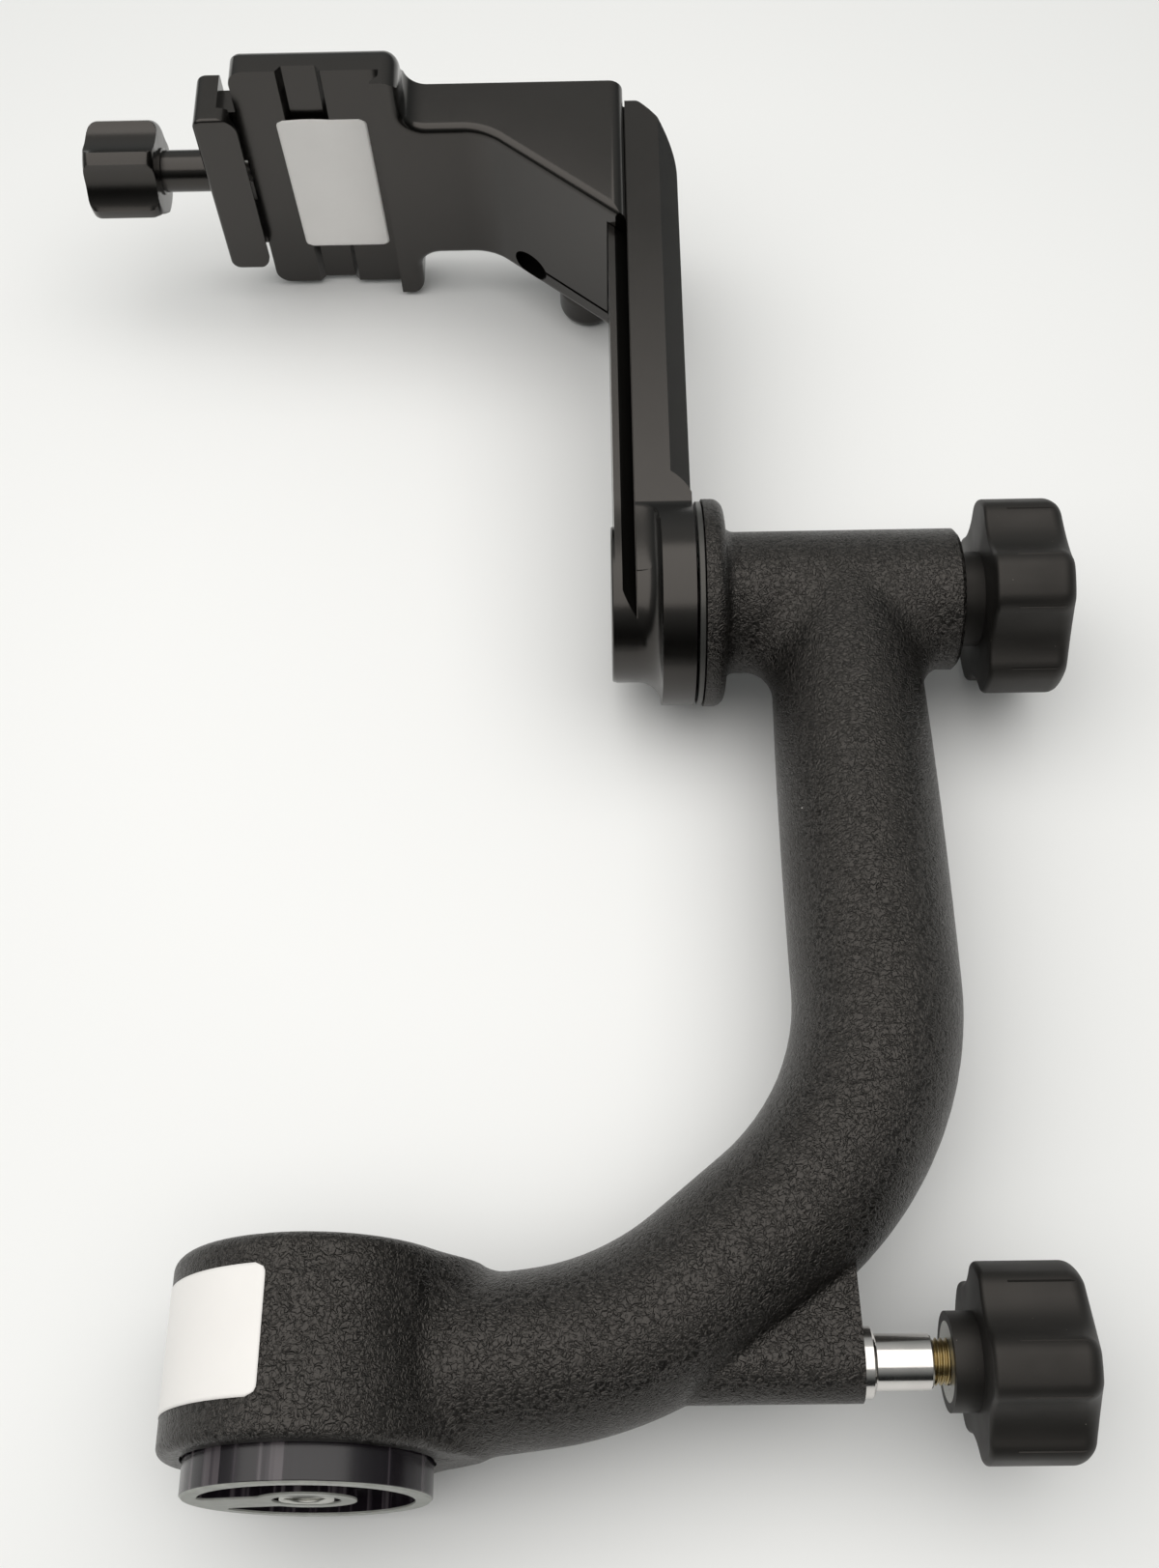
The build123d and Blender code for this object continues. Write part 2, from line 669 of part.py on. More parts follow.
# Tilt lock: threaded plug in the barrel, shoe against the axle's end, and the knob on its stud
with BuildPart() as tilt_lock_bushing:
    add_ring(
        across_x(plug_start, tilt_height), barrel_end - plug_start,
        tilt_bearing_outer - press_gap, stud_radius + running_gap,
    )
tilt_lock_bushing.part.label = "tilt_lock_bushing"
export_step(tilt_lock_bushing.part, "parts/tilt_lock_bushing.step")

with BuildPart() as tilt_lock_shoe:
    add_ring(across_x(tilt_shoe_start, tilt_height), tilt_shoe_thickness, tilt_shoe_radius)
    chamfer(tilt_lock_shoe.edges().filter_by(GeomType.CIRCLE), shoe_bevel)
tilt_lock_shoe.part.label = "tilt_lock_shoe"
export_step(tilt_lock_shoe.part, "parts/tilt_lock_shoe.step")

tilt_knob = lobed_knob(
    tilt_knob_radius, tilt_knob_corner, tilt_rim, tilt_knob_front, tilt_height, tilt_lobe_angle,
    tilt_hub_face, tilt_hub_radius, tilt_insert_radius,
)
tilt_knob.part.label = "tilt_knob"
export_step(tilt_knob.part, "parts/tilt_knob.step")
tilt_knob_insert = knob_insert(tilt_hub_face, tilt_height, tilt_insert_radius)
tilt_knob_insert.part.label = "tilt_knob_insert"
export_step(tilt_knob_insert.part, "parts/tilt_knob_insert.step")
tilt_knob_stud = knob_stud(tilt_shoe_end, tilt_hub_face, tilt_height)
tilt_knob_stud.part.label = "tilt_knob_stud"
export_step(tilt_knob_stud.part, "parts/tilt_knob_stud.step")

# Swing arm: turned hub, flare and disc, and a milled bar that carries the dovetail rail
with BuildPart() as bevel_cut:
    with BuildSketch(arm_frame.offset(bevel_stop_u)):
        with BuildLine():
            Polyline(
                (disc_end - arm_bevel, rail_half), (disc_end, rail_half), (disc_end, rail_half - arm_bevel),
                close=True,
            )
        make_face()
        mirror(about=Plane.XZ)
    extrude(amount=arm_length - bevel_stop_u)
    with BuildSketch(arm_side(-rail_half)):
        with Locations((bevel_stop_x, bevel_stop_u)):
            Circle(bevel_stop_radius)
    extrude(amount=-rail_width, mode=Mode.SUBTRACT)

with BuildPart() as swing_arm:
    with BuildSketch(arm_face(hub_face)) as bar_face:
        Rectangle(rail_width, arm_length, align=(Align.CENTER, Align.MIN))
        fillet(bar_face.vertices().group_by(Axis.Y)[-1], rail_corner)
    extrude(amount=disc_end - hub_face)
    add_ring(
        across_x(hub_face + hub_length, tilt_height), disc_end - hub_face - hub_length, disc_radius,
        mode=Mode.SUBTRACT,
    )
    with BuildSketch(Plane(origin=(0, 0, tilt_height), x_dir=(1, 0, 0), z_dir=(0, -1, 0))):
        with BuildLine():
            hub_side = Line((hub_face, 0), (hub_face, hub_radius))
            Line(hub_side @ 1, (hub_face + hub_length, hub_radius))
            flare = CenterArc((hub_face + hub_length, disc_radius), flare_radius, -90, 90)
            Line(flare @ 1, (disc_start, disc_radius))
            Line((disc_start, disc_radius), (disc_end, disc_radius))
            Line((disc_end, disc_radius), (disc_end, 0))
            Line((disc_end, 0), (hub_face, 0))
        make_face()
    revolve(axis=Axis((0, 0, tilt_height), (1, 0, 0)))
    with BuildSketch(arm_frame.offset(-hub_radius)):
        with BuildLine():
            Polyline(
                (hub_face + rail_lip, disc_radius), (hub_face + rail_lip, rail_half),
                (hub_face + rail_lip + rail_undercut, neck_half), (body_start, neck_half),
                (body_start, disc_radius), close=True,
            )
        make_face()
        mirror(about=Plane.XZ)
    extrude(amount=hub_radius + arm_length, mode=Mode.SUBTRACT)
    add(bevel_cut.part, mode=Mode.SUBTRACT)
    with BuildSketch(arm_side(-rail_half)):
        with Locations((disc_end - tip_arc_radius, tip_arc_centre_u)):
            Rectangle(tip_arc_radius, tip_arc_radius, align=(Align.MIN, Align.MIN))
            Circle(tip_arc_radius, mode=Mode.SUBTRACT)
    extrude(amount=-rail_width, mode=Mode.SUBTRACT)
    for depth, radius in ((disc_end - hub_face, axle_radius), (axle_head_thickness, axle_head_radius)):
        add_ring(across_x(hub_face, tilt_height), depth, radius + press_gap, mode=Mode.SUBTRACT)
swing_arm.part.label = "swing_arm"
export_step(swing_arm.part, "parts/swing_arm.step")

with BuildPart() as tilt_axle:
    add_ring(across_x(hub_face, tilt_height), axle_head_thickness, axle_head_radius)
    add_ring(across_x(hub_face, tilt_height), right_bearing_end - hub_face, axle_radius)
    add_ring(across_x(right_bearing_end, tilt_height), axle_end - right_bearing_end, axle_thread_radius)
tilt_axle.part.label = "tilt_axle"
export_step(tilt_axle.part, "parts/tilt_axle.step")

with BuildPart() as axle_nut:
    add_ring(
        across_x(axle_nut_start, tilt_height), axle_nut_width, axle_nut_radius,
        axle_thread_radius + press_gap,
    )
    with BuildSketch(across_x(axle_end, tilt_height)):
        with PolarLocations(axle_nut_radius, 4):
            Rectangle(2 * retainer_slot, retainer_slot)
    extrude(amount=-axle_nut_width / 2, mode=Mode.SUBTRACT)
axle_nut.part.label = "axle_nut"
export_step(axle_nut.part, "parts/axle_nut.step")

with BuildPart() as axle_cap:
    add_ring(across_x(hub_face - cap_thickness, tilt_height), cap_thickness, cap_radius)
    chamfer(axle_cap.edges().filter_by(GeomType.CIRCLE).sort_by(Axis.X)[0], cap_edge)
axle_cap.part.label = "axle_cap"
export_step(axle_cap.part, "parts/axle_cap.step")

# Platform: gusset with a dovetail slot and a flexure leaf, and the clamp body with its fixed lip


def local_centre(shape):
    """Centre of an edge in the arm's frame: x, g, u."""
    return arm_frame.to_local_coords(shape.center())


def runs_up(edge):
    """An edge that runs along the arm."""
    direction = edge.tangent_at(0)
    return edge.geom_type == GeomType.LINE and abs(direction.dot(arm_frame.z_dir)) > 0.999


def is_web_corner(edge):
    """An inner corner between the gusset and the clamp body."""
    x, g, _ = local_centre(edge)
    return runs_up(edge) and abs(x - clamp_right) < press_gap and abs(g) < clamp_half_length - web_blend


def is_ridge(edge):
    """An edge of the platform's lower outline, from the lip's end to the hooks."""
    x, g, u = local_centre(edge)
    beside_gusset = x > clamp_right - press_gap and abs(g) > gusset_half_width - press_gap
    return beside_gusset and u < lip_bottom + press_gap and not runs_up(edge)


def round_corners(plane, x, half_width, radius, length):
    """Round the two outer corners that lie at x, half_width to both sides of the plane's x direction."""
    for side in (-1, 1):
        with BuildSketch(plane) as cutter:
            with Locations((x, side * half_width)):
                Rectangle(2 * radius, 2 * radius)
            with Locations((x - copysign(radius, x), side * (half_width - radius))):
                Circle(radius, mode=Mode.SUBTRACT)
        extrude(cutter.sketch, amount=length, mode=Mode.SUBTRACT)


with BuildPart() as platform:
    with BuildSketch(arm_side(-gusset_half_width)) as gusset_profile:
        with BuildLine():
            Polyline(
                (gusset_start, platform_top), (hook_end, platform_top), (hook_end, gusset_low),
                (gusset_knee, lip_bottom), (gusset_start, lip_bottom), close=True,
            )
        make_face()
        knee = gusset_profile.vertices().sort_by_distance((gusset_knee, lip_bottom))[0]
        fillet(knee, gusset_bend)
    extrude(amount=-2 * gusset_half_width)
    with BuildSketch(arm_side(-clamp_half_length)):
        with BuildLine():
            Polyline(
                (clamp_left, platform_top), (clamp_left, clamp_floor), (lip_root_x, clamp_floor),
                (lip_root_x, lip_root_u), (lip_tip, lip_bottom + lip_nose), (lip_tip, lip_bottom),
                (clamp_right, lip_bottom), (clamp_right, platform_top), close=True,
            )
        make_face()
    extrude(amount=-2 * clamp_half_length)
    # Blends at the gusset's root, and the rounded ridge along the lower outline
    fillet([edge for edge in platform.edges() if is_web_corner(edge)], web_blend)
    fillet([edge for edge in platform.edges() if is_ridge(edge)], ridge_radius)
    # Level end of the hooks, and the rounded corners of the gusset and the clamp body
    with BuildSketch(arm_side(-gusset_half_width)):
        with Locations((hook_end, gusset_bottom)):
            Rectangle(gusset_bend, gusset_bend, align=(Align.CENTER, Align.MAX))
    extrude(amount=-2 * gusset_half_width, mode=Mode.SUBTRACT)
    body_plan = arm_level(0, gusset_low)
    body_height = platform_top - gusset_low
    round_corners(body_plan, hook_end, gusset_half_width, gusset_edge, body_height)
    round_corners(body_plan, clamp_left, clamp_half_length, clamp_corner, body_height)
    round_corners(body_plan, clamp_right, clamp_half_length, lip_end_radius, body_height)
    clamp_ends = Plane(origin=arm_face(clamp_right).origin, x_dir=arm_frame.z_dir, z_dir=-arm_frame.x_dir)
    round_corners(clamp_ends, platform_top, clamp_half_length, clamp_end_edge, clamp_right - clamp_left)
    # Channel across the clamp's floor
    with BuildSketch(arm_side(-clamp_half_length)):
        with BuildLine():
            Polyline(
                (channel_left, clamp_floor), (channel_left + channel_draft, clamp_floor + channel_depth),
                (channel_left + channel_width - channel_draft, clamp_floor + channel_depth),
                (channel_left + channel_width, clamp_floor), close=True,
            )
        make_face()
    extrude(amount=-2 * clamp_half_length, mode=Mode.SUBTRACT)
    # Dovetail slot with its hooks
    with BuildSketch(arm_frame.offset(gusset_bottom - gusset_bend)):
        with BuildLine():
            Polyline(
                (slot_floor, 0), (slot_floor, rail_half + slot_gap), (hook_shoulder, rail_half + slot_gap),
                (hook_end, hook_inner), (hook_end + hook_depth, hook_inner), (hook_end + hook_depth, 0),
                close=True,
            )
        make_face()
        mirror(about=Plane.XZ)
    extrude(amount=platform_top, mode=Mode.SUBTRACT)
    # Keyhole and slit that free the clamping leaf
    with BuildSketch(arm_frame.offset(gusset_bottom - gusset_bend)):
        with Locations((keyhole_x, keyhole_g)):
            Circle(keyhole_radius)
        with Locations((keyhole_x, rail_half + slot_gap)):
            Rectangle(slot_floor - keyhole_x + slot_gap, slit_width, align=(Align.MIN, Align.MAX))
    extrude(amount=platform_top, mode=Mode.SUBTRACT)
    # Holes for the clamp screw, the jaw's pins and the platform lock's screw
    add_ring(
        arm_face(clamp_left, 0, screw_height), clamp_screw_end + moving_gap + jaw_travel - clamp_left,
        clamp_screw_radius + running_gap, mode=Mode.SUBTRACT,
    )
    for side in (-1, 1):
        add_ring(
            arm_face(clamp_left, side * pin_spacing / 2, screw_height),
            pin_start + pin_length + jaw_travel + moving_gap - clamp_left,
            pin_radius + running_gap, mode=Mode.SUBTRACT,
        )
        with BuildSketch(arm_face(clamp_left, side * lug_middle, clamp_middle)):
            Rectangle(lug_width + 2 * moving_gap, lug_height + 2 * moving_gap)
        extrude(amount=lug_reach + jaw_travel + moving_gap, mode=Mode.SUBTRACT)
    add_ring(
        lock_plane(gusset_half_width), -lock_screw_depth - moving_gap - lock_travel_g,
        lock_screw_radius + running_gap, mode=Mode.SUBTRACT,
    )
platform.part.label = "platform"
export_step(platform.part, "parts/platform.step")

# Moving jaw with its two guide pins
with BuildPart() as clamp_jaw:
    with BuildSketch(arm_side(-jaw_half_length)):
        with BuildLine():
            Polyline(
                (jaw_outer, jaw_top), (jaw_outer, lip_bottom), (jaw_tip, lip_bottom),
                (jaw_tip, lip_bottom + lip_nose), (jaw_tip - lip_undercut, lip_root_u),
                (jaw_tip - lip_undercut, clamp_floor - moving_gap), (jaw_inner, clamp_floor - moving_gap),
                (jaw_inner, jaw_top), close=True,
            )
        make_face()
    extrude(amount=-2 * jaw_half_length)
    outer_corners = clamp_jaw.faces().sort_by(Axis.X)[0].edges().filter_by(runs_up)
    fillet(outer_corners, jaw_corner)
    fillet(clamp_jaw.faces().sort_by(Axis.X)[0].edges(), jaw_edge)
    round_corners(
        arm_level(jaw_inner, lip_bottom), jaw_tip - jaw_inner, jaw_half_length, jaw_tip_corner, lip_height,
    )
    add_ring(
        arm_face(jaw_outer, 0, screw_height), jaw_thickness, clamp_screw_radius + moving_gap,
        mode=Mode.SUBTRACT,
    )
    for side in (-1, 1):
        with BuildSketch(arm_face(jaw_inner, side * lug_middle, clamp_middle)):
            Rectangle(lug_width, lug_height)
        extrude(amount=lug_end - jaw_inner)
        add_ring(
            arm_face(pin_start, side * pin_spacing / 2, screw_height), lug_end - pin_start,
            pin_radius + press_gap, mode=Mode.SUBTRACT,
        )
clamp_jaw.part.label = "clamp_jaw"
export_step(clamp_jaw.part, "parts/clamp_jaw.step")

with BuildPart() as jaw_guide_pins:
    for side in (-1, 1):
        add_ring(arm_face(pin_start, side * pin_spacing / 2, screw_height), pin_length, pin_radius)
jaw_guide_pins.part.label = "jaw_guide_pins"
export_step(jaw_guide_pins.part, "parts/jaw_guide_pins.step")

# Clamp knob: five-lobed drum with a neck that pushes the jaw, on its screw
with BuildPart() as clamp_knob:
    drum_plane = turned(arm_face(clamp_knob_end, 0, screw_height), clamp_lobe_angle)
    drum_outline = lobed_outline(
        drum_plane, clamp_knob_radius, clamp_knob_valley, clamp_crest_half, clamp_knob_corner,
    )
    extrude(drum_outline, amount=clamp_knob_length)
    for end in (0, -1):
        fillet(clamp_knob.faces().sort_by(Axis.X)[end].edges(), clamp_knob_edge)
    add_ring(
        arm_face(clamp_knob_start, 0, screw_height), jaw_outer - press_gap - clamp_knob_start, neck_radius,
    )
    add_ring(
        arm_face(jaw_outer, 0, screw_height), clamp_knob_start - knob_screw_grip - jaw_outer,
        clamp_screw_radius + press_gap, mode=Mode.SUBTRACT,
    )
clamp_knob.part.label = "clamp_knob"
export_step(clamp_knob.part, "parts/clamp_knob.step")

with BuildPart() as clamp_screw:
    screw_start = clamp_knob_start - knob_screw_grip
    add_ring(arm_face(screw_start, 0, screw_height), clamp_screw_end - screw_start, clamp_screw_radius)
    chamfer(clamp_screw.edges().filter_by(GeomType.CIRCLE).sort_by(Axis.X)[-1], screw_bevel)
clamp_screw.part.label = "clamp_screw"
export_step(clamp_screw.part, "parts/clamp_screw.step")

# Platform lock: washer, knob and screw that pull the leaf onto the rail
with BuildPart() as platform_lock_washer:
    add_ring(
        lock_plane(gusset_half_width + press_gap), lock_washer_thickness - press_gap, lock_washer_radius,
        lock_screw_radius + moving_gap,
    )
platform_lock_washer.part.label = "platform_lock_washer"
export_step(platform_lock_washer.part, "parts/platform_lock_washer.step")

with BuildPart() as platform_lock_knob:
    lock_origin = lock_plane(lock_knob_start).origin
    with BuildSketch(Plane(origin=lock_origin, x_dir=arm_frame.x_dir, z_dir=arm_frame.z_dir)) as lock_profile:
        Polygon(
            (0, 0), (lock_waist_radius, 0), (lock_waist_radius, lock_waist_length),
            (lock_knob_radius, lock_flare_end), (lock_knob_radius, lock_knob_length), (0, lock_knob_length),
            align=None,
        )
        for corner, blend in (
            ((lock_knob_radius, lock_knob_length), lock_knob_edge),
            ((lock_knob_radius, lock_flare_end), lock_flare_blend),
            ((lock_waist_radius, lock_waist_length), lock_flare_blend),
        ):
            fillet(lock_profile.vertices().sort_by_distance(corner)[0], blend)
    revolve(axis=Axis(lock_origin, arm_frame.y_dir))
    add_ring(
        lock_plane(lock_knob_start), lock_screw_grip, lock_screw_radius + press_gap, mode=Mode.SUBTRACT,
    )
platform_lock_knob.part.label = "platform_lock_knob"
export_step(platform_lock_knob.part, "parts/platform_lock_knob.step")

with BuildPart() as platform_lock_screw:
    add_ring(
        lock_plane(gusset_half_width - lock_screw_depth),
        lock_screw_depth + lock_knob_start + lock_screw_grip - gusset_half_width, lock_screw_radius,
    )
platform_lock_screw.part.label = "platform_lock_screw"
export_step(platform_lock_screw.part, "parts/platform_lock_screw.step")
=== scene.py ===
import json
import math

import bmesh
import bpy
from mathutils import Matrix, Vector
from mathutils.bvhtree import BVHTree


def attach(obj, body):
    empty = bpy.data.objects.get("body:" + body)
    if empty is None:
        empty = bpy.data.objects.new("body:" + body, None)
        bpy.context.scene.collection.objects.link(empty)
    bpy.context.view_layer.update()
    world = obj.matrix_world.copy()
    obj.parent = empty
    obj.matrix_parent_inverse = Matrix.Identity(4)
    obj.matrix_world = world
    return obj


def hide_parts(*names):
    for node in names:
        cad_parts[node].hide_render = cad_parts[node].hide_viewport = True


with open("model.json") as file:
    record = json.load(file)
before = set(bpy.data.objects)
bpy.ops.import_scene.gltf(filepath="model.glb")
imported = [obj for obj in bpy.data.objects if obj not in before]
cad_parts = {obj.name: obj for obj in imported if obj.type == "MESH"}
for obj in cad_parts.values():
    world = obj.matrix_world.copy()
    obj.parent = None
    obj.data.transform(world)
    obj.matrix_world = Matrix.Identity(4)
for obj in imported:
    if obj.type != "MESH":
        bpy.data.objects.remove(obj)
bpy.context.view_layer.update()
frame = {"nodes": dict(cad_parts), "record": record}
nodes = frame["nodes"]

MM = 0.001
TILT_HEIGHT = 215.8 * MM
PAN_LOCK_HEIGHT = 25.24 * MM
LEAN = math.radians(5.4)
X_AXIS = Vector((1, 0, 0))
Z_AXIS = Vector((0, 0, 1))
ARM_G = Vector((0, math.cos(LEAN), math.sin(LEAN)))
ARM_U = Vector((0, -math.sin(LEAN), math.cos(LEAN)))


def arm_point(x, g, u):
    """A place in the leaning swing arm's own frame, in millimetres, as a point of the row frame."""
    return Vector((x * MM, 0, TILT_HEIGHT)) + ARM_G * (g * MM) + ARM_U * (u * MM)


# The lens-plate clamp's section, in the swing arm's frame
CLAMP_LEFT, CLAMP_RIGHT = -38.7, 8.0
CLAMP_FLOOR, CLAMP_TOP = 144.2, 156.0
CLAMP_HALF_LENGTH = 42.1
CLAMP_SCREW_HEIGHT = 150.1

# ---------------------------------------------------------------- materials


WARM = (1.0, 0.94, 0.885, 1)


class Surface:
    """A procedural material: a Principled shader with helpers that add texture nodes before it."""

    def __init__(self, name, roughness=0.5, metallic=0.0, **sockets):
        self.material = bpy.data.materials.new(name)
        self.material.use_nodes = True
        self.tree = self.material.node_tree
        self.shader = self.tree.nodes["Principled BSDF"]
        self.set(Roughness=roughness, Metallic=metallic, **sockets)
        self.place = self.node("ShaderNodeTexCoord").outputs["Object"]
        self.normal = None

    def set(self, **sockets):
        for socket, value in sockets.items():
            self.shader.inputs[socket.replace("_", " ")].default_value = value

    def node(self, kind, **settings):
        made = self.tree.nodes.new(kind)
        for setting, value in settings.items():
            setattr(made, setting, value)
        return made

    def link(self, output, socket):
        self.tree.links.new(output, socket)

    def stretched(self, scale):
        """Object coordinates, scaled by a factor for each axis."""
        mapping = self.node("ShaderNodeMapping")
        mapping.inputs["Scale"].default_value = scale
        self.link(self.place, mapping.inputs["Vector"])
        return mapping.outputs["Vector"]

    def noise(self, scale, detail=2.0, roughness=0.5, distortion=0.0, at=None):
        made = self.node("ShaderNodeTexNoise")
        for socket, value in (
            ("Scale", scale), ("Detail", detail), ("Roughness", roughness),
            ("Distortion", distortion),
        ):
            made.inputs[socket].default_value = value
        self.link(at or self.place, made.inputs["Vector"])
        return made.outputs["Fac"]

    def voronoi(self, scale):
        """Distance to the nearest of the points scattered through space."""
        made = self.node("ShaderNodeTexVoronoi")
        made.inputs["Scale"].default_value = scale
        self.link(self.place, made.inputs["Vector"])
        return made.outputs["Distance"]

    def ramp(self, factor, *stops):
        """Colours or grey levels at places from 0 to 1."""
        made = self.node("ShaderNodeValToRGB")
        elements = made.color_ramp.elements
        while len(elements) < len(stops):
            elements.new(0.5)
        for element, (place, level) in zip(elements, stops):
            element.position = place
            element.color = (*level, 1) if hasattr(level, "__len__") else (level, level, level, 1)
        self.link(factor, made.inputs["Fac"])
        return made.outputs["Color"]

    def math(self, operation, a, b=None, c=None):
        made = self.node("ShaderNodeMath", operation=operation)
        for socket, value in zip(made.inputs, (a, b, c)):
            if value is None:
                continue
            if isinstance(value, (int, float)):
                socket.default_value = value
            else:
                self.link(value, socket)
        return made.outputs[0]

    def mix(self, factor, a, b):
        made = self.node("ShaderNodeMix", data_type="RGBA")
        self.link(factor, made.inputs["Factor"])
        for socket, value in ((made.inputs[6], a), (made.inputs[7], b)):
            if hasattr(value, "__len__"):
                socket.default_value = (*value, 1)
            else:
                self.link(value, socket)
        return made.outputs[2]

    def colour(self, output):
        self.link(output, self.shader.inputs["Base Color"])

    def rough(self, output):
        self.link(output, self.shader.inputs["Roughness"])

    def bump(self, height, depth, strength=1.0):
        """Adds a bump of the given depth in metres over those added before."""
        made = self.node("ShaderNodeBump")
        made.inputs["Distance"].default_value = depth
        made.inputs["Strength"].default_value = strength
        self.link(height, made.inputs["Height"])
        if self.normal is not None:
            self.link(self.normal, made.inputs["Normal"])
        self.normal = made.outputs["Normal"]
        self.link(self.normal, self.shader.inputs["Normal"])


def wrinkle_coat():
    """Black wrinkle powder coat: short raised worms with painted shade in the hollows between them,
    and a few specks of dust.
    """
    s = Surface("wrinkle_coat", Specular_IOR_Level=0.60, Specular_Tint=WARM)
    flow = s.noise(260, 1.0)
    warp = s.node("ShaderNodeVectorMath", operation="MULTIPLY_ADD")
    s.link(flow, warp.inputs[0])
    warp.inputs[1].default_value = (0.0020, 0.0014, 0.0016)
    s.link(s.place, warp.inputs[2])
    worms = s.noise(930, 1.5, 0.45, 0.8, at=warp.outputs[0])
    ridges = s.math("ABSOLUTE", s.math("SUBTRACT", worms, 0.5))
    height = s.ramp(ridges, (0.0, 1.0), (0.15, 0.0))
    fine = s.noise(2600, 1.0)
    s.bump(height, 0.00016, 1.0)
    s.bump(fine, 0.00003, 0.5)
    cloud = s.noise(34, 3.0, 0.55)
    crown = s.ramp(cloud, (0.3, (0.0046, 0.0042, 0.0037)), (0.7, (0.0070, 0.0064, 0.0056)))
    # painted shade: the colour follows the worms' height, near black in the hollows between them
    # and lighter on their tops
    base = s.mix(height, (0.0012, 0.0011, 0.0010), crown)
    speck = s.ramp(s.voronoi(95), (0.0, 1.0), (0.016, 1.0), (0.02, 0.0))
    rare = s.ramp(s.noise(41, 0.0), (0.60, 0.0), (0.62, 1.0))
    s.colour(s.mix(s.math("MULTIPLY", speck, rare), base, (0.55, 0.53, 0.50)))
    s.rough(s.ramp(s.noise(60, 3.0), (0.3, 0.31), (0.7, 0.39)))
    return s.material


def anodised(name, tone, rough_low, rough_high, specular=0.5):
    """Satin anodised aluminium: fine blasted grain and faint marks of handling."""
    s = Surface(name, Specular_IOR_Level=specular, Specular_Tint=WARM)
    cloud = s.noise(48, 3.0, 0.6)
    light = tuple(1.45 * level for level in tone)
    s.colour(s.ramp(cloud, (0.3, tone), (0.75, light)))
    grain = s.noise(4200, 1.0, 0.7)
    s.bump(grain, 0.000022, 0.6)
    smudge = s.noise(23, 4.0, 0.6)
    s.rough(s.ramp(smudge, (0.3, rough_low), (0.72, rough_high)))
    return s.material


def turned_foot():
    """Glossy black anodised turning with a purple cast and painted bright vertical streaks of
    reflection round its side, and a paler, satin underside.
    """
    s = Surface("turned_foot", Anisotropic=0.55)
    tangent = s.node("ShaderNodeTangent", direction_type="RADIAL", axis="Z")
    s.link(tangent.outputs["Tangent"], s.shader.inputs["Tangent"])
    rings = s.noise(1.0, 3.0, 0.7, at=s.stretched((40, 40, 6000)))
    s.bump(rings, 0.000012, 0.5)
    parts = s.node("ShaderNodeSeparateXYZ")
    s.link(s.place, parts.inputs[0])
    height = s.math("MULTIPLY", parts.outputs["Z"], 1 / MM)
    face = s.ramp(height, (0.0, 1.0), (0.30, 1.0), (0.42, 0.0))
    # painted reflection: bright vertical streaks round the side, the same all along the axis
    streak = s.noise(1.0, 2.0, 0.7, at=s.stretched((330, 330, 3)))
    side = s.ramp(
        streak,
        (0.50, (0.0080, 0.0060, 0.0085)),
        (0.56, (0.016, 0.012, 0.017)),
        (0.63, (0.075, 0.065, 0.072)),
    )
    under = s.ramp(s.noise(300, 3.0), (0.3, (0.30, 0.31, 0.285)), (0.7, (0.40, 0.41, 0.38)))
    s.colour(s.mix(face, side, under))
    s.rough(s.ramp(face, (0.0, 0.2), (1.0, 0.42)))
    return s.material


def moulded():
    """Matt black moulded knob: fine grain, faint streaks along the draft, dust specks."""
    s = Surface("moulded_black", Specular_IOR_Level=0.42, Specular_Tint=WARM)
    streak = s.noise(1.0, 3.0, 0.6, at=s.stretched((28, 160, 160)))
    base = s.ramp(streak, (0.3, (0.0052, 0.0050, 0.0046)), (0.7, (0.0096, 0.0091, 0.0084)))
    speck = s.ramp(s.voronoi(420), (0.0, 1.0), (0.035, 1.0), (0.05, 0.0))
    rare = s.ramp(s.noise(140, 1.0), (0.56, 0.0), (0.6, 1.0))
    s.colour(s.mix(s.math("MULTIPLY", speck, rare), base, (0.16, 0.15, 0.13)))
    s.rough(s.ramp(s.noise(75, 3.0), (0.3, 0.44), (0.7, 0.56)))
    s.bump(s.noise(2400, 2.0, 0.6), 0.00003, 0.6)
    return s.material


def metal(name, tone, rough_low, rough_high, scale=(60, 60, 60), depth=0.000008):
    """Bare or plated metal with fine turning marks."""
    s = Surface(name, metallic=1.0)
    light = tuple(min(1.0, 1.12 * level) for level in tone)
    s.colour(s.ramp(s.noise(120, 3.0), (0.3, tone), (0.7, light)))
    marks = s.noise(1.0, 3.0, 0.6, at=s.stretched(scale))
    s.rough(s.ramp(marks, (0.3, rough_low), (0.7, rough_high)))
    s.bump(marks, depth, 0.4)
    return s.material


def paper():
    """Plain white sticker with a slight sheen and a soft edge."""
    s = Surface("label_paper", Specular_IOR_Level=0.4)
    s.colour(s.ramp(s.noise(70, 3.0), (0.3, (0.845, 0.83, 0.81)), (0.7, (0.875, 0.86, 0.84))))
    s.rough(s.ramp(s.noise(900, 2.0), (0.3, 0.42), (0.7, 0.52)))
    s.bump(s.noise(600, 2.0), 0.00001, 0.4)
    return s.material


coat = wrinkle_coat()
black_anodised = anodised("black_anodised", (0.0026, 0.0025, 0.0023), 0.17, 0.24, 0.62)
moulded_black = moulded()
foot_finish = turned_foot()
steel = metal("steel", (0.46, 0.45, 0.43), 0.26, 0.36)
chrome = metal("chrome", (0.62, 0.60, 0.58), 0.09, 0.18, scale=(2200, 60, 60), depth=0.000004)
brass = metal("brass", (0.34, 0.27, 0.14), 0.22, 0.34)
insert_metal = metal("insert_metal", (0.50, 0.50, 0.47), 0.25, 0.4)
washer_grey = anodised("washer_grey", (0.035, 0.036, 0.034), 0.25, 0.36)
white_paper = paper()

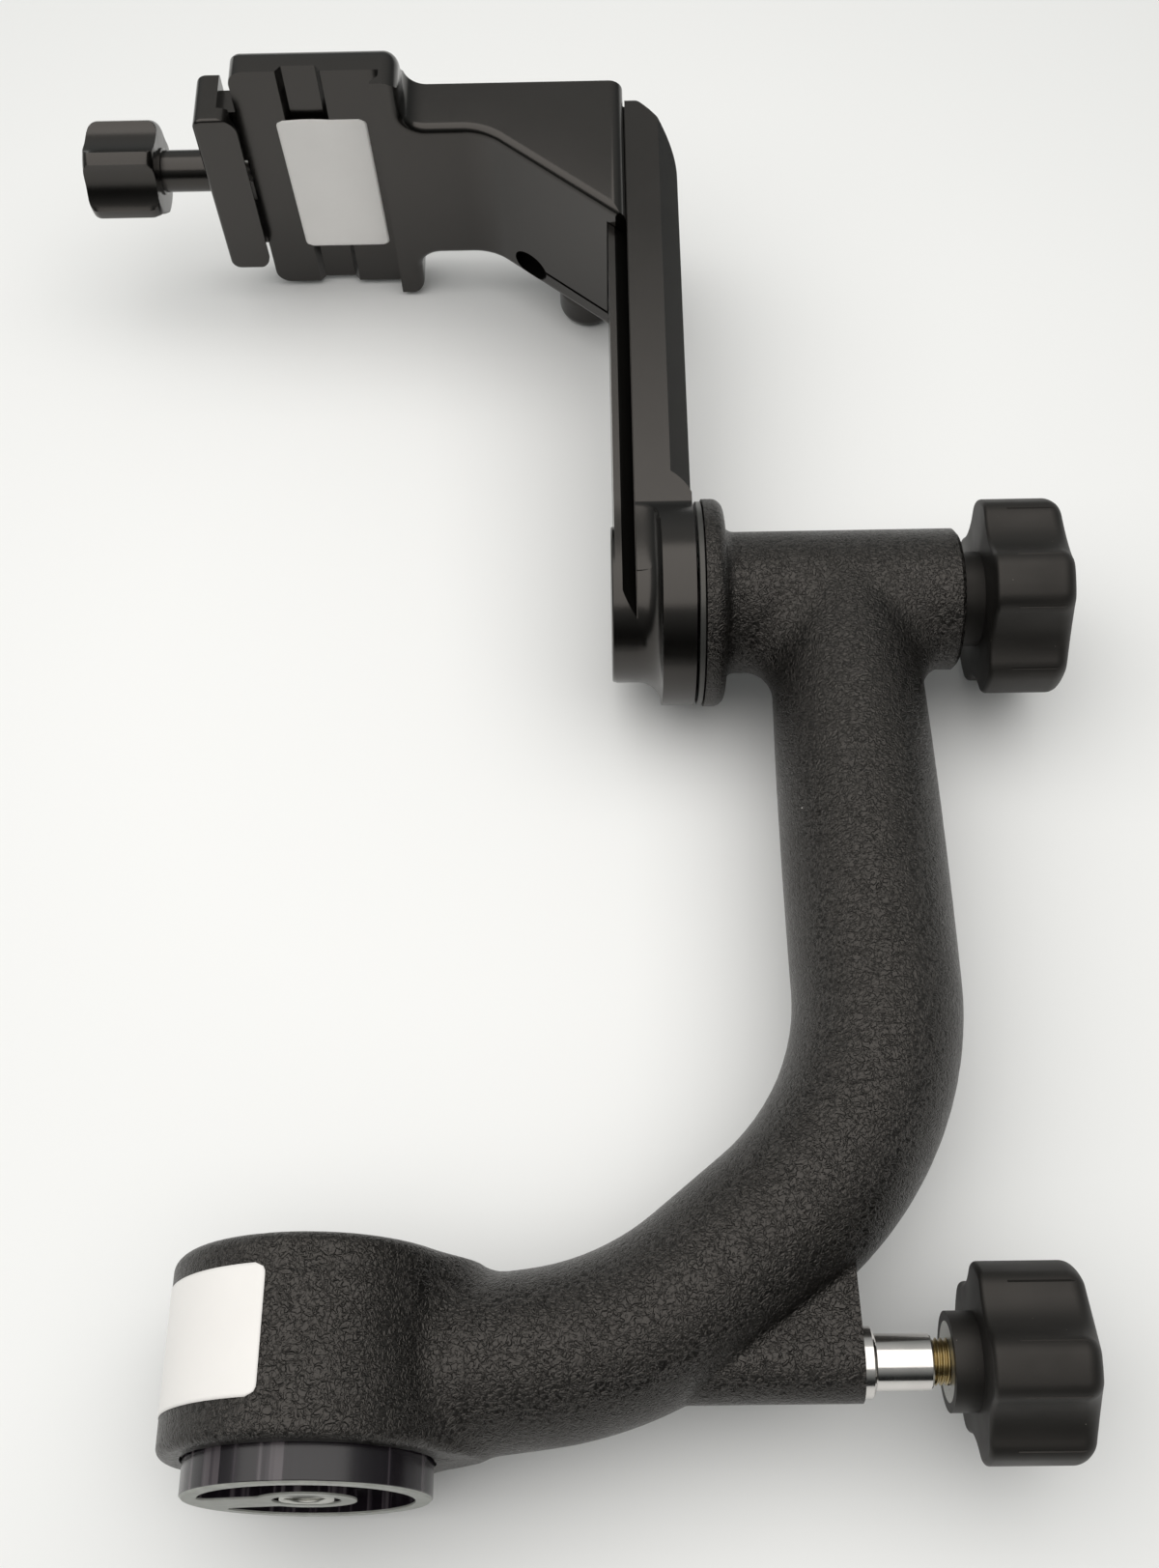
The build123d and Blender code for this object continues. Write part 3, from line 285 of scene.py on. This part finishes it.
FINISHES = {
    "wrinkle_black": coat,
    "anodised_black": black_anodised,
    "foot_anodised": foot_finish,
    "knob_black": moulded_black,
    "steel": steel,
    "chrome": chrome,
    "brass": brass,
    "washer_grey": washer_grey,
}
for part in frame["record"]["subparts"]:
    node = nodes[part["node"]]
    node.data.materials.clear()
    node.data.materials.append(FINISHES[part["material_slot"]])
for name in ("pan_knob_insert", "tilt_knob_insert", "thread_insert"):
    nodes[name].data.materials[0] = insert_metal


# ---------------------------------------------------------------- mesh tools

# Vertices nearer than this are one, in metres; a cut that leaves less than this share is undone
WELD = 1e-6
LEAST_LEFT = 0.99


def build(name, vertices, faces, material, body):
    """A new smooth-shaded piece that rides on a body."""
    mesh = bpy.data.meshes.new(name)
    mesh.from_pydata([tuple(v) for v in vertices], [], faces)
    mesh.validate()
    for polygon in mesh.polygons:
        polygon.use_smooth = True
    mesh.materials.append(material)
    made = bpy.data.objects.new(name, mesh)
    bpy.context.scene.collection.objects.link(made)
    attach(made, body)
    return made


def sheet_pair(name, vertices, columns, rows, material, body, degrees=None):
    """A thin closed piece: two grids of points, one after the other, joined along their rims."""
    other = columns * rows
    faces = []
    for j in range(rows - 1):
        for i in range(columns - 1):
            k = j * columns + i
            faces.append((k, k + 1, k + columns + 1, k + columns))
            faces.append((other + k + columns, other + k + columns + 1, other + k + 1, other + k))
    rim = list(range(columns))
    rim += [j * columns + columns - 1 for j in range(1, rows)]
    rim += [(rows - 1) * columns + i for i in range(columns - 2, -1, -1)]
    rim += [j * columns for j in range(rows - 2, 0, -1)]
    for k, n in zip(rim, rim[1:] + rim[:1]):
        faces.append((n, k, other + k, other + n))
    made = build(name, vertices, faces, material, body)
    if degrees:
        smooth_by_angle(made.data, degrees)
    return made


def to_mesh(bm, name):
    mesh = bpy.data.meshes.new(name)
    bm.to_mesh(mesh)
    bm.free()
    return mesh


def welded(node_name):
    """A copy of a node's mesh whose split vertices are joined again."""
    bm = bmesh.new()
    bm.from_mesh(nodes[node_name].data)
    bmesh.ops.remove_doubles(bm, verts=bm.verts, dist=WELD)
    return to_mesh(bm, node_name + "_skin")


def closed_volume(mesh):
    """A mesh's volume, or nothing if it has an open edge."""
    bm = bmesh.new()
    bm.from_mesh(mesh)
    size = bm.calc_volume() if all(edge.is_manifold for edge in bm.edges) else 0.0
    bm.free()
    return size


def cut_away(mesh, cutter_mesh):
    """The mesh less the cutter, or the mesh as it was if the cut spoils it."""
    made = bpy.data.objects.new("cut", mesh.copy())
    cutter = bpy.data.objects.new("cutter", cutter_mesh)
    for obj in (made, cutter):
        bpy.context.scene.collection.objects.link(obj)
    modifier = made.modifiers.new("cut", "BOOLEAN")
    modifier.operation = "DIFFERENCE"
    modifier.solver = "MANIFOLD"
    modifier.object = cutter
    graph = bpy.context.evaluated_depsgraph_get()
    result = bpy.data.meshes.new_from_object(made.evaluated_get(graph), depsgraph=graph)
    for obj in (made, cutter):
        bpy.data.objects.remove(obj)
    return result if closed_volume(result) > LEAST_LEFT * closed_volume(mesh) else mesh


def prism(rings, name):
    """A closed skin through rings of points, each with as many."""
    bm = bmesh.new()
    rows = [[bm.verts.new(place) for place in ring] for ring in rings]
    count = len(rows[0])
    for low, high in zip(rows, rows[1:]):
        for i in range(count):
            n = (i + 1) % count
            bm.faces.new((low[i], low[n], high[n], high[i]))
    bm.faces.new(tuple(reversed(rows[0])))
    bm.faces.new(tuple(rows[-1]))
    bmesh.ops.recalc_face_normals(bm, faces=bm.faces)
    return to_mesh(bm, name)


def smooth_by_angle(mesh, degrees):
    """Smooth shading with sharp edges where two faces meet at more than the angle."""
    bm = bmesh.new()
    bm.from_mesh(mesh)
    for face in bm.faces:
        face.smooth = True
    limit = math.radians(degrees)
    for edge in bm.edges:
        edge.smooth = len(edge.link_faces) == 2 and edge.calc_face_angle(0) < limit
    bm.to_mesh(mesh)
    bm.free()


def stand_in(name, mesh, node_name, material, body, degrees):
    """A piece that stands for a node, shaded smooth but for edges sharper than the angle."""
    mesh.name = name
    mesh.materials.clear()
    mesh.materials.append(material)
    smooth_by_angle(mesh, degrees)
    made = bpy.data.objects.new(name, mesh)
    bpy.context.scene.collection.objects.link(made)
    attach(made, body)
    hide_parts(node_name)
    return made


# ---------------------------------------------------------------- labels

# Height of a label's two faces over the surface, in millimetres
LABEL_GAP, LABEL_FACE = 0.02, 0.12


def sticker(name, surface, width, height, corner, body, across, down):
    """A thin label with rounded corners; surface(a, b, lift) gives the point at a, b mm on it."""
    spots = []
    for j in range(down + 1):
        b = height * j / down
        edge = min(b, height - b, corner)
        inset = corner - math.sqrt(max(0.0, corner**2 - (corner - edge) ** 2))
        spots += [(inset + (width - 2 * inset) * i / across, b) for i in range(across + 1)]
    vertices = [surface(a, b, lift) for lift in (LABEL_GAP, LABEL_FACE) for a, b in spots]
    return sheet_pair(name, vertices, across + 1, down + 1, white_paper, body)


HOUSING_RADIUS = 30.3
HOUSING_LABEL_FOOT = 14.6
HOUSING_LABEL_EDGE = math.radians(-101.5)


def housing_skin(a, b, lift):
    """The label's wrap round the pan housing; a runs from its right edge, b up from its foot."""
    angle = HOUSING_LABEL_EDGE - a / HOUSING_RADIUS
    r = (HOUSING_RADIUS + lift) * MM
    return Vector((r * math.cos(angle), r * math.sin(angle), (HOUSING_LABEL_FOOT + b) * MM))


sticker(
    "housing_label", housing_skin, width=50.8, height=25.1, corner=2.2, body="arm",
    across=60, down=30,
)

CLAMP_LABEL_LEFT, CLAMP_LABEL_START, CLAMP_LABEL_LENGTH = -28.1, -24.6, 50.6
CLAMP_LABEL_SKEW = 0.02
SLOT_LEFT, SLOT_WIDTH, SLOT_SAG = -25.3, 12.4, 0.35


def clamp_skin(a, b, lift):
    """The label on the clamp's floor, which sags a little into the slot that it covers."""
    x = CLAMP_LABEL_LEFT + a
    over_slot = min(1.0, max(0.0, (x - SLOT_LEFT) / SLOT_WIDTH))
    sag = SLOT_SAG * math.sin(math.pi * over_slot) * (1 - b / CLAMP_LABEL_LENGTH) ** 2
    u = CLAMP_FLOOR - lift - LABEL_GAP + sag
    return arm_point(x + CLAMP_LABEL_SKEW * b, CLAMP_LABEL_START + b, u)


sticker(
    "clamp_label", clamp_skin, width=25.6, height=CLAMP_LABEL_LENGTH, corner=2.0, body="platform",
    across=30, down=60,
)

# ---------------------------------------------------------------- moulded knobs

KNOB_LOBES = 5
LOBE_STEP = 360 / KNOB_LOBES
PAD_EDGE_ANGLE = 15.7
GROOVE_HALF_WIDTH = 0.24 * MM
GROOVE_DEPTH = 0.27 * MM
CLEAR_OF_KNOB = 60 * MM
ON_PLANE = 1e-7


def whole_knob(node_name, height, lobe_angle):
    """A knob with all its lobes alike: one sound half lobe, mirrored and turned about the axis."""
    bm = bmesh.new()
    bm.from_mesh(welded(node_name))
    axis_point = Vector((0, 0, height))
    middle = math.radians(lobe_angle + LOBE_STEP)
    across = Vector((0, -math.sin(middle), math.cos(middle)))
    edge = middle + math.pi / KNOB_LOBES
    past_edge = Vector((0, -math.sin(edge), math.cos(edge)))
    for outward in (-across, past_edge):
        everything = bm.verts[:] + bm.edges[:] + bm.faces[:]
        bmesh.ops.bisect_plane(
            bm, geom=everything, dist=ON_PLANE, plane_co=axis_point, plane_no=outward,
            clear_outer=True,
        )
    half = [v.co - axis_point for v in bm.verts]
    bm.verts.index_update()
    faces = [[v.index for v in face.verts] for face in bm.faces]
    bm.free()
    vertices, polygons = [], []
    for lobe in range(KNOB_LOBES):
        turn = Matrix.Rotation(math.radians(LOBE_STEP * lobe), 3, "X")
        for mirrored in (False, True):
            start = len(vertices)
            for place in half:
                if mirrored:
                    place = place - across * (2 * place.dot(across))
                vertices.append(tuple(turn @ place + axis_point))
            for face in faces:
                order = reversed(face) if mirrored else face
                polygons.append(tuple(start + k for k in order))
    mesh = bpy.data.meshes.new(node_name + "_lobes")
    mesh.from_pydata(vertices, [], polygons)
    bm = bmesh.new()
    bm.from_mesh(mesh)
    bmesh.ops.remove_doubles(bm, verts=bm.verts, dist=4 * WELD)
    return to_mesh(bm, node_name + "_whole")


def groove(skin, height, angle, first, last):
    """A thin prism along a knob's side, at an angle from +Y towards +Z, its edge under the skin."""
    out = Vector((0, math.cos(angle), math.sin(angle)))
    middle = Vector(((first + last) / 2 * MM, 0, height))
    place, normal, _, _ = skin.ray_cast(middle + out * CLEAR_OF_KNOB, -out)
    side = X_AXIS.cross(normal) * (2 * GROOVE_HALF_WIDTH)
    rings = []
    for x in (first, last):
        end = Vector((x * MM, place.y, place.z))
        high, low = end + normal * GROOVE_DEPTH, end - normal * GROOVE_DEPTH
        rings.append([high + side, high - side, low])
    return prism(rings, "groove")


def grooved_knob(node_name, height, lobe_angle, first, last):
    """A knob with a thin V groove along both edges of each lobe's pad, from one x to another."""
    mesh = whole_knob(node_name, height, lobe_angle)
    skin = BVHTree.FromPolygons([v.co for v in mesh.vertices], [p.vertices for p in mesh.polygons])
    for lobe in range(KNOB_LOBES):
        for side in (-1, 1):
            angle = lobe_angle + LOBE_STEP * lobe + side * PAD_EDGE_ANGLE
            mesh = cut_away(mesh, groove(skin, height, math.radians(angle), first, last))
    return stand_in(node_name + "_grooved", mesh, node_name, moulded_black, node_name, 32)


grooved_knob("pan_knob", PAN_LOCK_HEIGHT, 196.0, 140.6, 157.0)
grooved_knob("tilt_knob", TILT_HEIGHT, 205.0, 164.0, 178.8)

# ---------------------------------------------------------------- fluted knob of the clamp


CLAMP_LOBE_ANGLE = 208.7
DRUM_FRONT, DRUM_BACK, DRUM_RADIUS = -86.6, -66.0, 14.25
DRUM_VALLEY, DRUM_ROUNDING = 10.8, 2.9
CREST_HALF = 7.2
CREST_STEPS, SCOOP_STEPS, ROUND_STEPS, STRAIGHT_STEPS = 6, 26, 8, 4
NECK_RADIUS, COLLAR_RADIUS, NECK_END = 5.9, 6.6, -50.6


def knob_point(x, r, angle):
    turn = math.radians(angle)
    return arm_point(x, r * math.cos(turn), CLAMP_SCREW_HEIGHT + r * math.sin(turn))


def scoop_radius(angle):
    """How far from the axis the round scoops leave the drum, at an angle from +g towards +u."""
    rim = math.radians(LOBE_STEP / 2 - CREST_HALF)
    reach, side = DRUM_RADIUS * math.cos(rim), DRUM_RADIUS * math.sin(rim)
    centre = (reach**2 + side**2 - DRUM_VALLEY**2) / (2 * (reach - DRUM_VALLEY))
    off = math.radians((angle - CLAMP_LOBE_ANGLE) % LOBE_STEP - LOBE_STEP / 2)
    inner = (centre - DRUM_VALLEY) ** 2 - (centre * math.sin(off)) ** 2
    return centre * math.cos(off) - math.sqrt(inner) if inner > 0 else DRUM_RADIUS


def fluted_clamp_knob():
    """A turned knob with five wide scoops between narrow pads, and its plain neck."""
    between = LOBE_STEP - 2 * CREST_HALF
    samples = []
    for lobe in range(KNOB_LOBES):
        start = CLAMP_LOBE_ANGLE + LOBE_STEP * lobe
        crest = range(CREST_STEPS + 1)
        samples += [start - CREST_HALF + 2 * CREST_HALF * i / CREST_STEPS for i in crest]
        scoop = range(1, SCOOP_STEPS)
        samples += [start + CREST_HALF + between * i / SCOOP_STEPS for i in scoop]
    rows = []
    for i in range(ROUND_STEPS + 1):
        turn = math.pi / 2 * i / ROUND_STEPS
        inset = DRUM_ROUNDING * (1 - math.sin(turn))
        limit = DRUM_RADIUS - DRUM_ROUNDING * (1 - math.cos(turn))
        rows += [(DRUM_FRONT + inset, limit), (DRUM_BACK - inset, limit)]
    straight = DRUM_BACK - DRUM_FRONT - 2 * DRUM_ROUNDING
    rows += [
        (DRUM_FRONT + DRUM_ROUNDING + straight * i / STRAIGHT_STEPS, DRUM_RADIUS)
        for i in range(1, STRAIGHT_STEPS)
    ]
    rows.sort()
    neck = [
        (DRUM_BACK, COLLAR_RADIUS), (DRUM_BACK + 0.5, COLLAR_RADIUS),
        (DRUM_BACK + 0.7, NECK_RADIUS), (NECK_END, NECK_RADIUS),
    ]
    rings = [
        [knob_point(x, min(limit, scoop_radius(angle)), angle) for angle in samples]
        for x, limit in rows
    ]
    rings += [[knob_point(x, r, angle) for angle in samples] for x, r in neck]
    return stand_in(
        "clamp_knob_fluted", prism(rings, "fluted"), "clamp_knob", black_anodised, "clamp_knob", 24,
    )


fluted_clamp_knob()

# ---------------------------------------------------------------- foot of the swing-arm's bar


RAIL_HALF, HUB_RADIUS, DISC_RADIUS = 19.0, 20.2, 26.25
FLARE_START, FLARE_RADIUS = 70.6, 6.05
FOOT_TOP, FOOT_DIP = 19.6, 2.0
FOOT_STEPS = 40
SEAM, SEAM_REACH = 0.33, 1.3
# How the skin's rims sink into the solid: for each mm below the hub's axis, and at the top
DIP_SINK = 0.006
TOP_FADE, TOP_SINK = 1.2, 0.05


def foot_depth(x, u, flared):
    """Half the foot's size along g, at a place across the bar and up it."""
    if u < 0:
        return math.sqrt(foot_depth(x, 0, flared) ** 2 - u**2) + DIP_SINK * u
    side = RAIL_HALF + (HUB_RADIUS - RAIL_HALF) * math.cos(math.pi / 2 * u / FOOT_TOP) ** 2
    if not flared:
        return side
    level = math.sqrt(DISC_RADIUS**2 - u**2)
    if x < FLARE_START + FLARE_RADIUS:
        over = max(0.0, x - FLARE_START)
        level = min(level, side + FLARE_RADIUS - math.sqrt(max(0.0, FLARE_RADIUS**2 - over**2)))
    near = max(0.0, 1.0 - abs(level - side) / SEAM_REACH)
    fade = min(1.0, (FOOT_TOP - u) / TOP_FADE)
    return max(level, side) + SEAM * near**2 * fade - TOP_SINK * (1 - fade)


def bar_foot(name, left, right, flared):
    """The bar's lower end, where its sides run down into the hub and out to the disc."""
    us = [-FOOT_DIP + FOOT_DIP * i / 8 for i in range(8)]
    us += [FOOT_TOP * i / FOOT_STEPS for i in range(FOOT_STEPS + 1)]
    xs = [left + (right - left) * i / FOOT_STEPS for i in range(FOOT_STEPS + 1)]
    columns, rows = len(xs), len(us)
    vertices = [
        arm_point(x, sign * foot_depth(x, u, flared), u) for sign in (-1, 1) for u in us for x in xs
    ]
    return sheet_pair(name, vertices, columns, rows, black_anodised, "swing_arm", 30)


bar_foot("bar_foot_lip", 65.006, 66.744, False)
bar_foot("bar_foot_body", 70.406, 84.894, True)

# ---------------------------------------------------------------- screw threads


def lathe(name, axis_point, axis, profile, segments, material, body, wave=None):
    """A closed skin turned about an axis; wave(t, angle) may shift a profile point's radius."""
    helper = axis.orthogonal().normalized()
    other = axis.cross(helper)
    vertices = []
    for along, radius, marked in profile:
        for i in range(segments):
            angle = 2 * math.pi * i / segments
            r = radius + (wave(along, angle) if marked and wave else 0.0)
            around = helper * math.cos(angle) + other * math.sin(angle)
            vertices.append(axis_point + axis * (along * MM) + around * (r * MM))
    faces = []
    rows = len(profile)
    for j in range(rows):
        k = (j + 1) % rows
        for i in range(segments):
            n = (i + 1) % segments
            faces.append((j * segments + i, j * segments + n, k * segments + n, k * segments + i))
    return build(name, vertices, faces, material, body)


# The stud's fine thread, which the insert in the foot shares
THREAD_PITCH = 25.4 / 24
THREAD_DEPTH = 0.6


def ridge(along, angle):
    """Height of a rounded 60 degree thread over its root, from 0 to 1."""
    phase = (along / THREAD_PITCH + angle / (2 * math.pi)) % 1.0
    height = 1 - abs(2 * phase - 1)
    return min(1.0, max(0.0, 1.25 * height - 0.12))


def outer_thread(along, angle):
    return -THREAD_DEPTH * (1 - ridge(along, angle))


def inner_thread(along, angle):
    return THREAD_DEPTH * (1 - ridge(along, angle))


def steps(start, end, count):
    return [start + (end - start) * i / count for i in range(count + 1)]


NEARLY_AXIS = 0.02
STUD_START, STUD_END, STUD_RADIUS, STUD_TIP = 107.9, 144.0, 4.7, 3.2
stud_profile = [(STUD_START, NEARLY_AXIS, False), (STUD_START, STUD_TIP, False)]
stud_profile += [(x, STUD_RADIUS, True) for x in steps(108.6, 138.0, 300)]
stud_profile += [
    (138.1, STUD_RADIUS, False), (STUD_END, STUD_RADIUS, False), (STUD_END, NEARLY_AXIS, False),
]
pan_lock_axis = Vector((0, 0, PAN_LOCK_HEIGHT))
pan_stud = lathe(
    "pan_stud_threaded", pan_lock_axis, X_AXIS, stud_profile, 48, brass, "pan_knob", outer_thread,
)
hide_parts("pan_knob_stud")

INSERT_RADIUS, BORE_RADIUS, INSERT_HEIGHT = 5.46, 4.0, 7.9
bore_profile = [(0.0, INSERT_RADIUS, False), (0.0, 4.95, False)]
bore_profile += [(z, BORE_RADIUS, True) for z in steps(0.45, 7.5, 80)]
bore_profile += [(INSERT_HEIGHT, BORE_RADIUS, False), (INSERT_HEIGHT, INSERT_RADIUS, False)]
foot_bore = lathe(
    "thread_insert_turned", Vector((0, 0, 0)), Z_AXIS, bore_profile, 64, insert_metal, "base",
    inner_thread,
)
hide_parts("thread_insert")

WASHER_LEFT, WASHER_RIGHT, WASHER_BORE, WASHER_RADIUS = 85.65, 87.1, 15.2, 26.1
washer_profile = [
    (WASHER_LEFT, WASHER_BORE, False), (WASHER_LEFT, WASHER_RADIUS - 0.2, False),
    (WASHER_LEFT + 0.15, WASHER_RADIUS, False), (WASHER_RIGHT - 0.15, WASHER_RADIUS, False),
    (WASHER_RIGHT, WASHER_RADIUS - 0.15, False), (WASHER_RIGHT, WASHER_BORE, False),
]
tilt_axis = Vector((0, 0, TILT_HEIGHT))
thin_washer = lathe(
    "friction_washer_ring", tilt_axis, X_AXIS, washer_profile, 180, washer_grey, "arm",
)
smooth_by_angle(thin_washer.data, 25)
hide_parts("friction_washer")

# ---------------------------------------------------------------- rounded edges of the platform

OUTSIDE = 0.01
CUTTER_MARGIN = 0.8
END_ROUND = 8.0
CUT_FOOT = 137.0
ARC_STEPS, END_STEPS = 10, 12
# (g, radius) where each edge's rounding starts and where it has its full size
LEFT_ROUND = [(20.0, 3.0)]
RIGHT_ROUND = [(30.5, 0.05), (33.5, 4.4)]


def corner_cutter(stations, first):
    """What lies outside a rounded edge; a station is (point on it, radius, inward direction)."""
    rings = []
    for point, radius, second in stations:
        section = [(-CUTTER_MARGIN, -CUTTER_MARGIN), (radius, -CUTTER_MARGIN)]
        for i in range(ARC_STEPS + 1):
            turn = math.pi / 2 * i / ARC_STEPS
            section.append((radius - radius * math.sin(turn), radius - radius * math.cos(turn)))
        section.append((-CUTTER_MARGIN, radius))
        rings.append([point + first * (a * MM) + second * (b * MM) for a, b in section])
    return prism(rings, "corner")


def end_path(x, sign, radii):
    """Stations along the clamp's top and down one of its ends, round that end's rounded edge."""
    top, end = CLAMP_TOP + OUTSIDE, CLAMP_HALF_LENGTH + OUTSIDE
    stations = [(arm_point(x, sign * g, top), radius, -ARM_U) for g, radius in radii]
    last = radii[-1][1]
    centre = arm_point(x, sign * (end - END_ROUND), top - END_ROUND)
    for i in range(END_STEPS + 1):
        turn = math.pi / 2 * i / END_STEPS
        out = ARM_G * (sign * math.sin(turn)) + ARM_U * math.cos(turn)
        stations.append((centre + out * (END_ROUND * MM), last, -out))
    stations.append((arm_point(x, sign * end, CUT_FOOT), last, -ARM_G * sign))
    return stations


left_side, right_side = CLAMP_LEFT - OUTSIDE, CLAMP_RIGHT + OUTSIDE
left_edge = end_path(left_side, 1, LEFT_ROUND)[::-1] + end_path(left_side, -1, LEFT_ROUND)
platform_mesh = welded("platform")
platform_mesh = cut_away(platform_mesh, corner_cutter(left_edge, X_AXIS))
for sign in (-1, 1):
    right_edge = end_path(right_side, sign, RIGHT_ROUND)
    platform_mesh = cut_away(platform_mesh, corner_cutter(right_edge, -X_AXIS))
stand_in("platform_rounded", platform_mesh, "platform", black_anodised, "platform", 25)

# ---------------------------------------------------------------- stage and light

FLOOR_Y, FLOOR_HALF = 30.6 * MM, 3.0


def table_finish():
    """Pale table with a painted pool of light, seen from its front only, so that the part can be
    looked at from behind.
    """
    s = Surface("pale_table", roughness=0.6, Specular_IOR_Level=0.2)
    # painted light: a pool of light centred left of the middle, fading to painted shade towards the
    # corners
    mapping = s.node("ShaderNodeMapping")
    mapping.inputs["Location"].default_value = (-0.066, 0.0, -0.44)
    mapping.inputs["Scale"].default_value = (2.2, 0.0, 2.0)
    s.link(s.place, mapping.inputs["Vector"])
    painted_light_pool = s.node("ShaderNodeTexGradient", gradient_type="SPHERICAL")
    s.link(mapping.outputs["Vector"], painted_light_pool.inputs["Vector"])
    paper = s.math("MULTIPLY_ADD", s.noise(900, 2.0), 0.02, painted_light_pool.outputs["Fac"])
    s.colour(s.ramp(paper, (0.0, (0.74, 0.755, 0.755)), (0.8, (0.895, 0.905, 0.905))))
    clear = s.node("ShaderNodeBsdfTransparent")
    side = s.node("ShaderNodeNewGeometry").outputs["Backfacing"]
    chosen = s.node("ShaderNodeMixShader")
    s.link(side, chosen.inputs[0])
    s.link(s.shader.outputs[0], chosen.inputs[1])
    s.link(clear.outputs[0], chosen.inputs[2])
    s.link(chosen.outputs[0], s.tree.nodes["Material Output"].inputs["Surface"])
    return s.material


corners = [
    (a * FLOOR_HALF, FLOOR_Y, b * FLOOR_HALF) for a, b in ((-1, -1), (1, -1), (1, 1), (-1, 1))
]
table_mesh = bpy.data.meshes.new("table")
table_mesh.from_pydata(corners, [], [(0, 1, 2, 3)])
table_mesh.materials.append(table_finish())
table = bpy.data.objects.new("table", table_mesh)
bpy.context.scene.collection.objects.link(table)


def softbox(name, place, target, width, height, power, colour):
    data = bpy.data.lights.new(name, "AREA")
    data.shape = "RECTANGLE"
    data.size = width
    data.size_y = height
    data.energy = power
    data.color = colour
    made = bpy.data.objects.new(name, data)
    bpy.context.scene.collection.objects.link(made)
    made.location = place
    made.rotation_mode = "QUATERNION"
    made.rotation_quaternion = (Vector(target) - Vector(place)).to_track_quat("-Z", "Y")


softbox(
    "overhead", place=(-0.10, -1.35, 0.15), target=(0.06, 0.0, 0.18), width=3.3, height=2.0,
    power=28.2, colour=(1.0, 0.97, 0.94),
)

world = bpy.data.worlds.new("studio")
bpy.context.scene.world = world
world.use_nodes = True
tree = world.node_tree


def world_node(kind, **settings):
    made = tree.nodes.new(kind)
    for setting, value in settings.items():
        setattr(made, setting, value)
    return made


sky = world_node("ShaderNodeTexCoord")


def towards(direction, low, high, low_level, high_level):
    """A smooth level that rises with the direction's closeness to a given one."""
    dot = world_node("ShaderNodeVectorMath", operation="DOT_PRODUCT")
    tree.links.new(sky.outputs["Generated"], dot.inputs[0])
    dot.inputs[1].default_value = direction
    level = world_node("ShaderNodeMapRange", interpolation_type="SMOOTHSTEP")
    tree.links.new(dot.outputs["Value"], level.inputs["Value"])
    for socket, value in (
        ("From Min", low), ("From Max", high), ("To Min", low_level), ("To Max", high_level),
    ):
        level.inputs[socket].default_value = value
    return level.outputs["Result"]


# The world as a light, and the even pale backdrop that the camera sees
ceiling = towards((0.0, 0.0, 1.0), -0.6, 0.3, 0.02, 0.19)
key = towards((-0.1, -0.99, 0.1), 0.1, 0.9, 0.0, 0.40)
tint = world_node("ShaderNodeMix", data_type="RGBA")
tree.links.new(key, tint.inputs["Factor"])
tint.inputs[6].default_value = (0.96, 1.0, 0.985, 1)
tint.inputs[7].default_value = (1.0, 0.965, 0.93, 1)
total = world_node("ShaderNodeMath", operation="ADD")
tree.links.new(ceiling, total.inputs[0])
tree.links.new(key, total.inputs[1])
background = tree.nodes["Background"]
tree.links.new(tint.outputs[2], background.inputs["Color"])
tree.links.new(total.outputs[0], background.inputs["Strength"])
shown = world_node("ShaderNodeBackground")
shown.inputs["Color"].default_value = (0.90, 0.90, 0.89, 1)
shown.inputs["Strength"].default_value = 0.95
path = world_node("ShaderNodeLightPath")
pick = world_node("ShaderNodeMixShader")
tree.links.new(path.outputs["Is Camera Ray"], pick.inputs[0])
tree.links.new(background.outputs[0], pick.inputs[1])
tree.links.new(shown.outputs[0], pick.inputs[2])
tree.links.new(pick.outputs[0], tree.nodes["World Output"].inputs["Surface"])

# ---------------------------------------------------------------- camera

# Solved from the photo: millimetres, degrees and pixels of the whole frame
CAMERA_PLACE = (60.404, -367.556, -46.739)
PITCH, YAW, ROLL = (math.radians(a) for a in (29.647, -0.781, -0.507))
FOCAL_PIXELS, LONG_SIDE_PIXELS, SENSOR = 1792.35, 1623, 36.0

forward = Vector((
    math.sin(YAW) * math.cos(PITCH), math.cos(YAW) * math.cos(PITCH), math.sin(PITCH),
))
level = Vector((math.cos(YAW), -math.sin(YAW), 0))
above = level.cross(forward)
right = level * math.cos(ROLL) + above * math.sin(ROLL)
up = above * math.cos(ROLL) - level * math.sin(ROLL)
camera_data = bpy.data.cameras.new("camera")
camera_data.sensor_width = SENSOR
camera_data.lens = FOCAL_PIXELS / LONG_SIDE_PIXELS * SENSOR
camera_data.clip_start = 0.02
camera_data.clip_end = 20
camera = bpy.data.objects.new("camera", camera_data)
bpy.context.scene.collection.objects.link(camera)
camera.matrix_world = Matrix.Translation(Vector(CAMERA_PLACE) * MM) @ Matrix(
    (right, up, -forward)
).transposed().to_4x4()
bpy.context.scene.camera = camera

bpy.context.scene.view_settings.view_transform = "Standard"
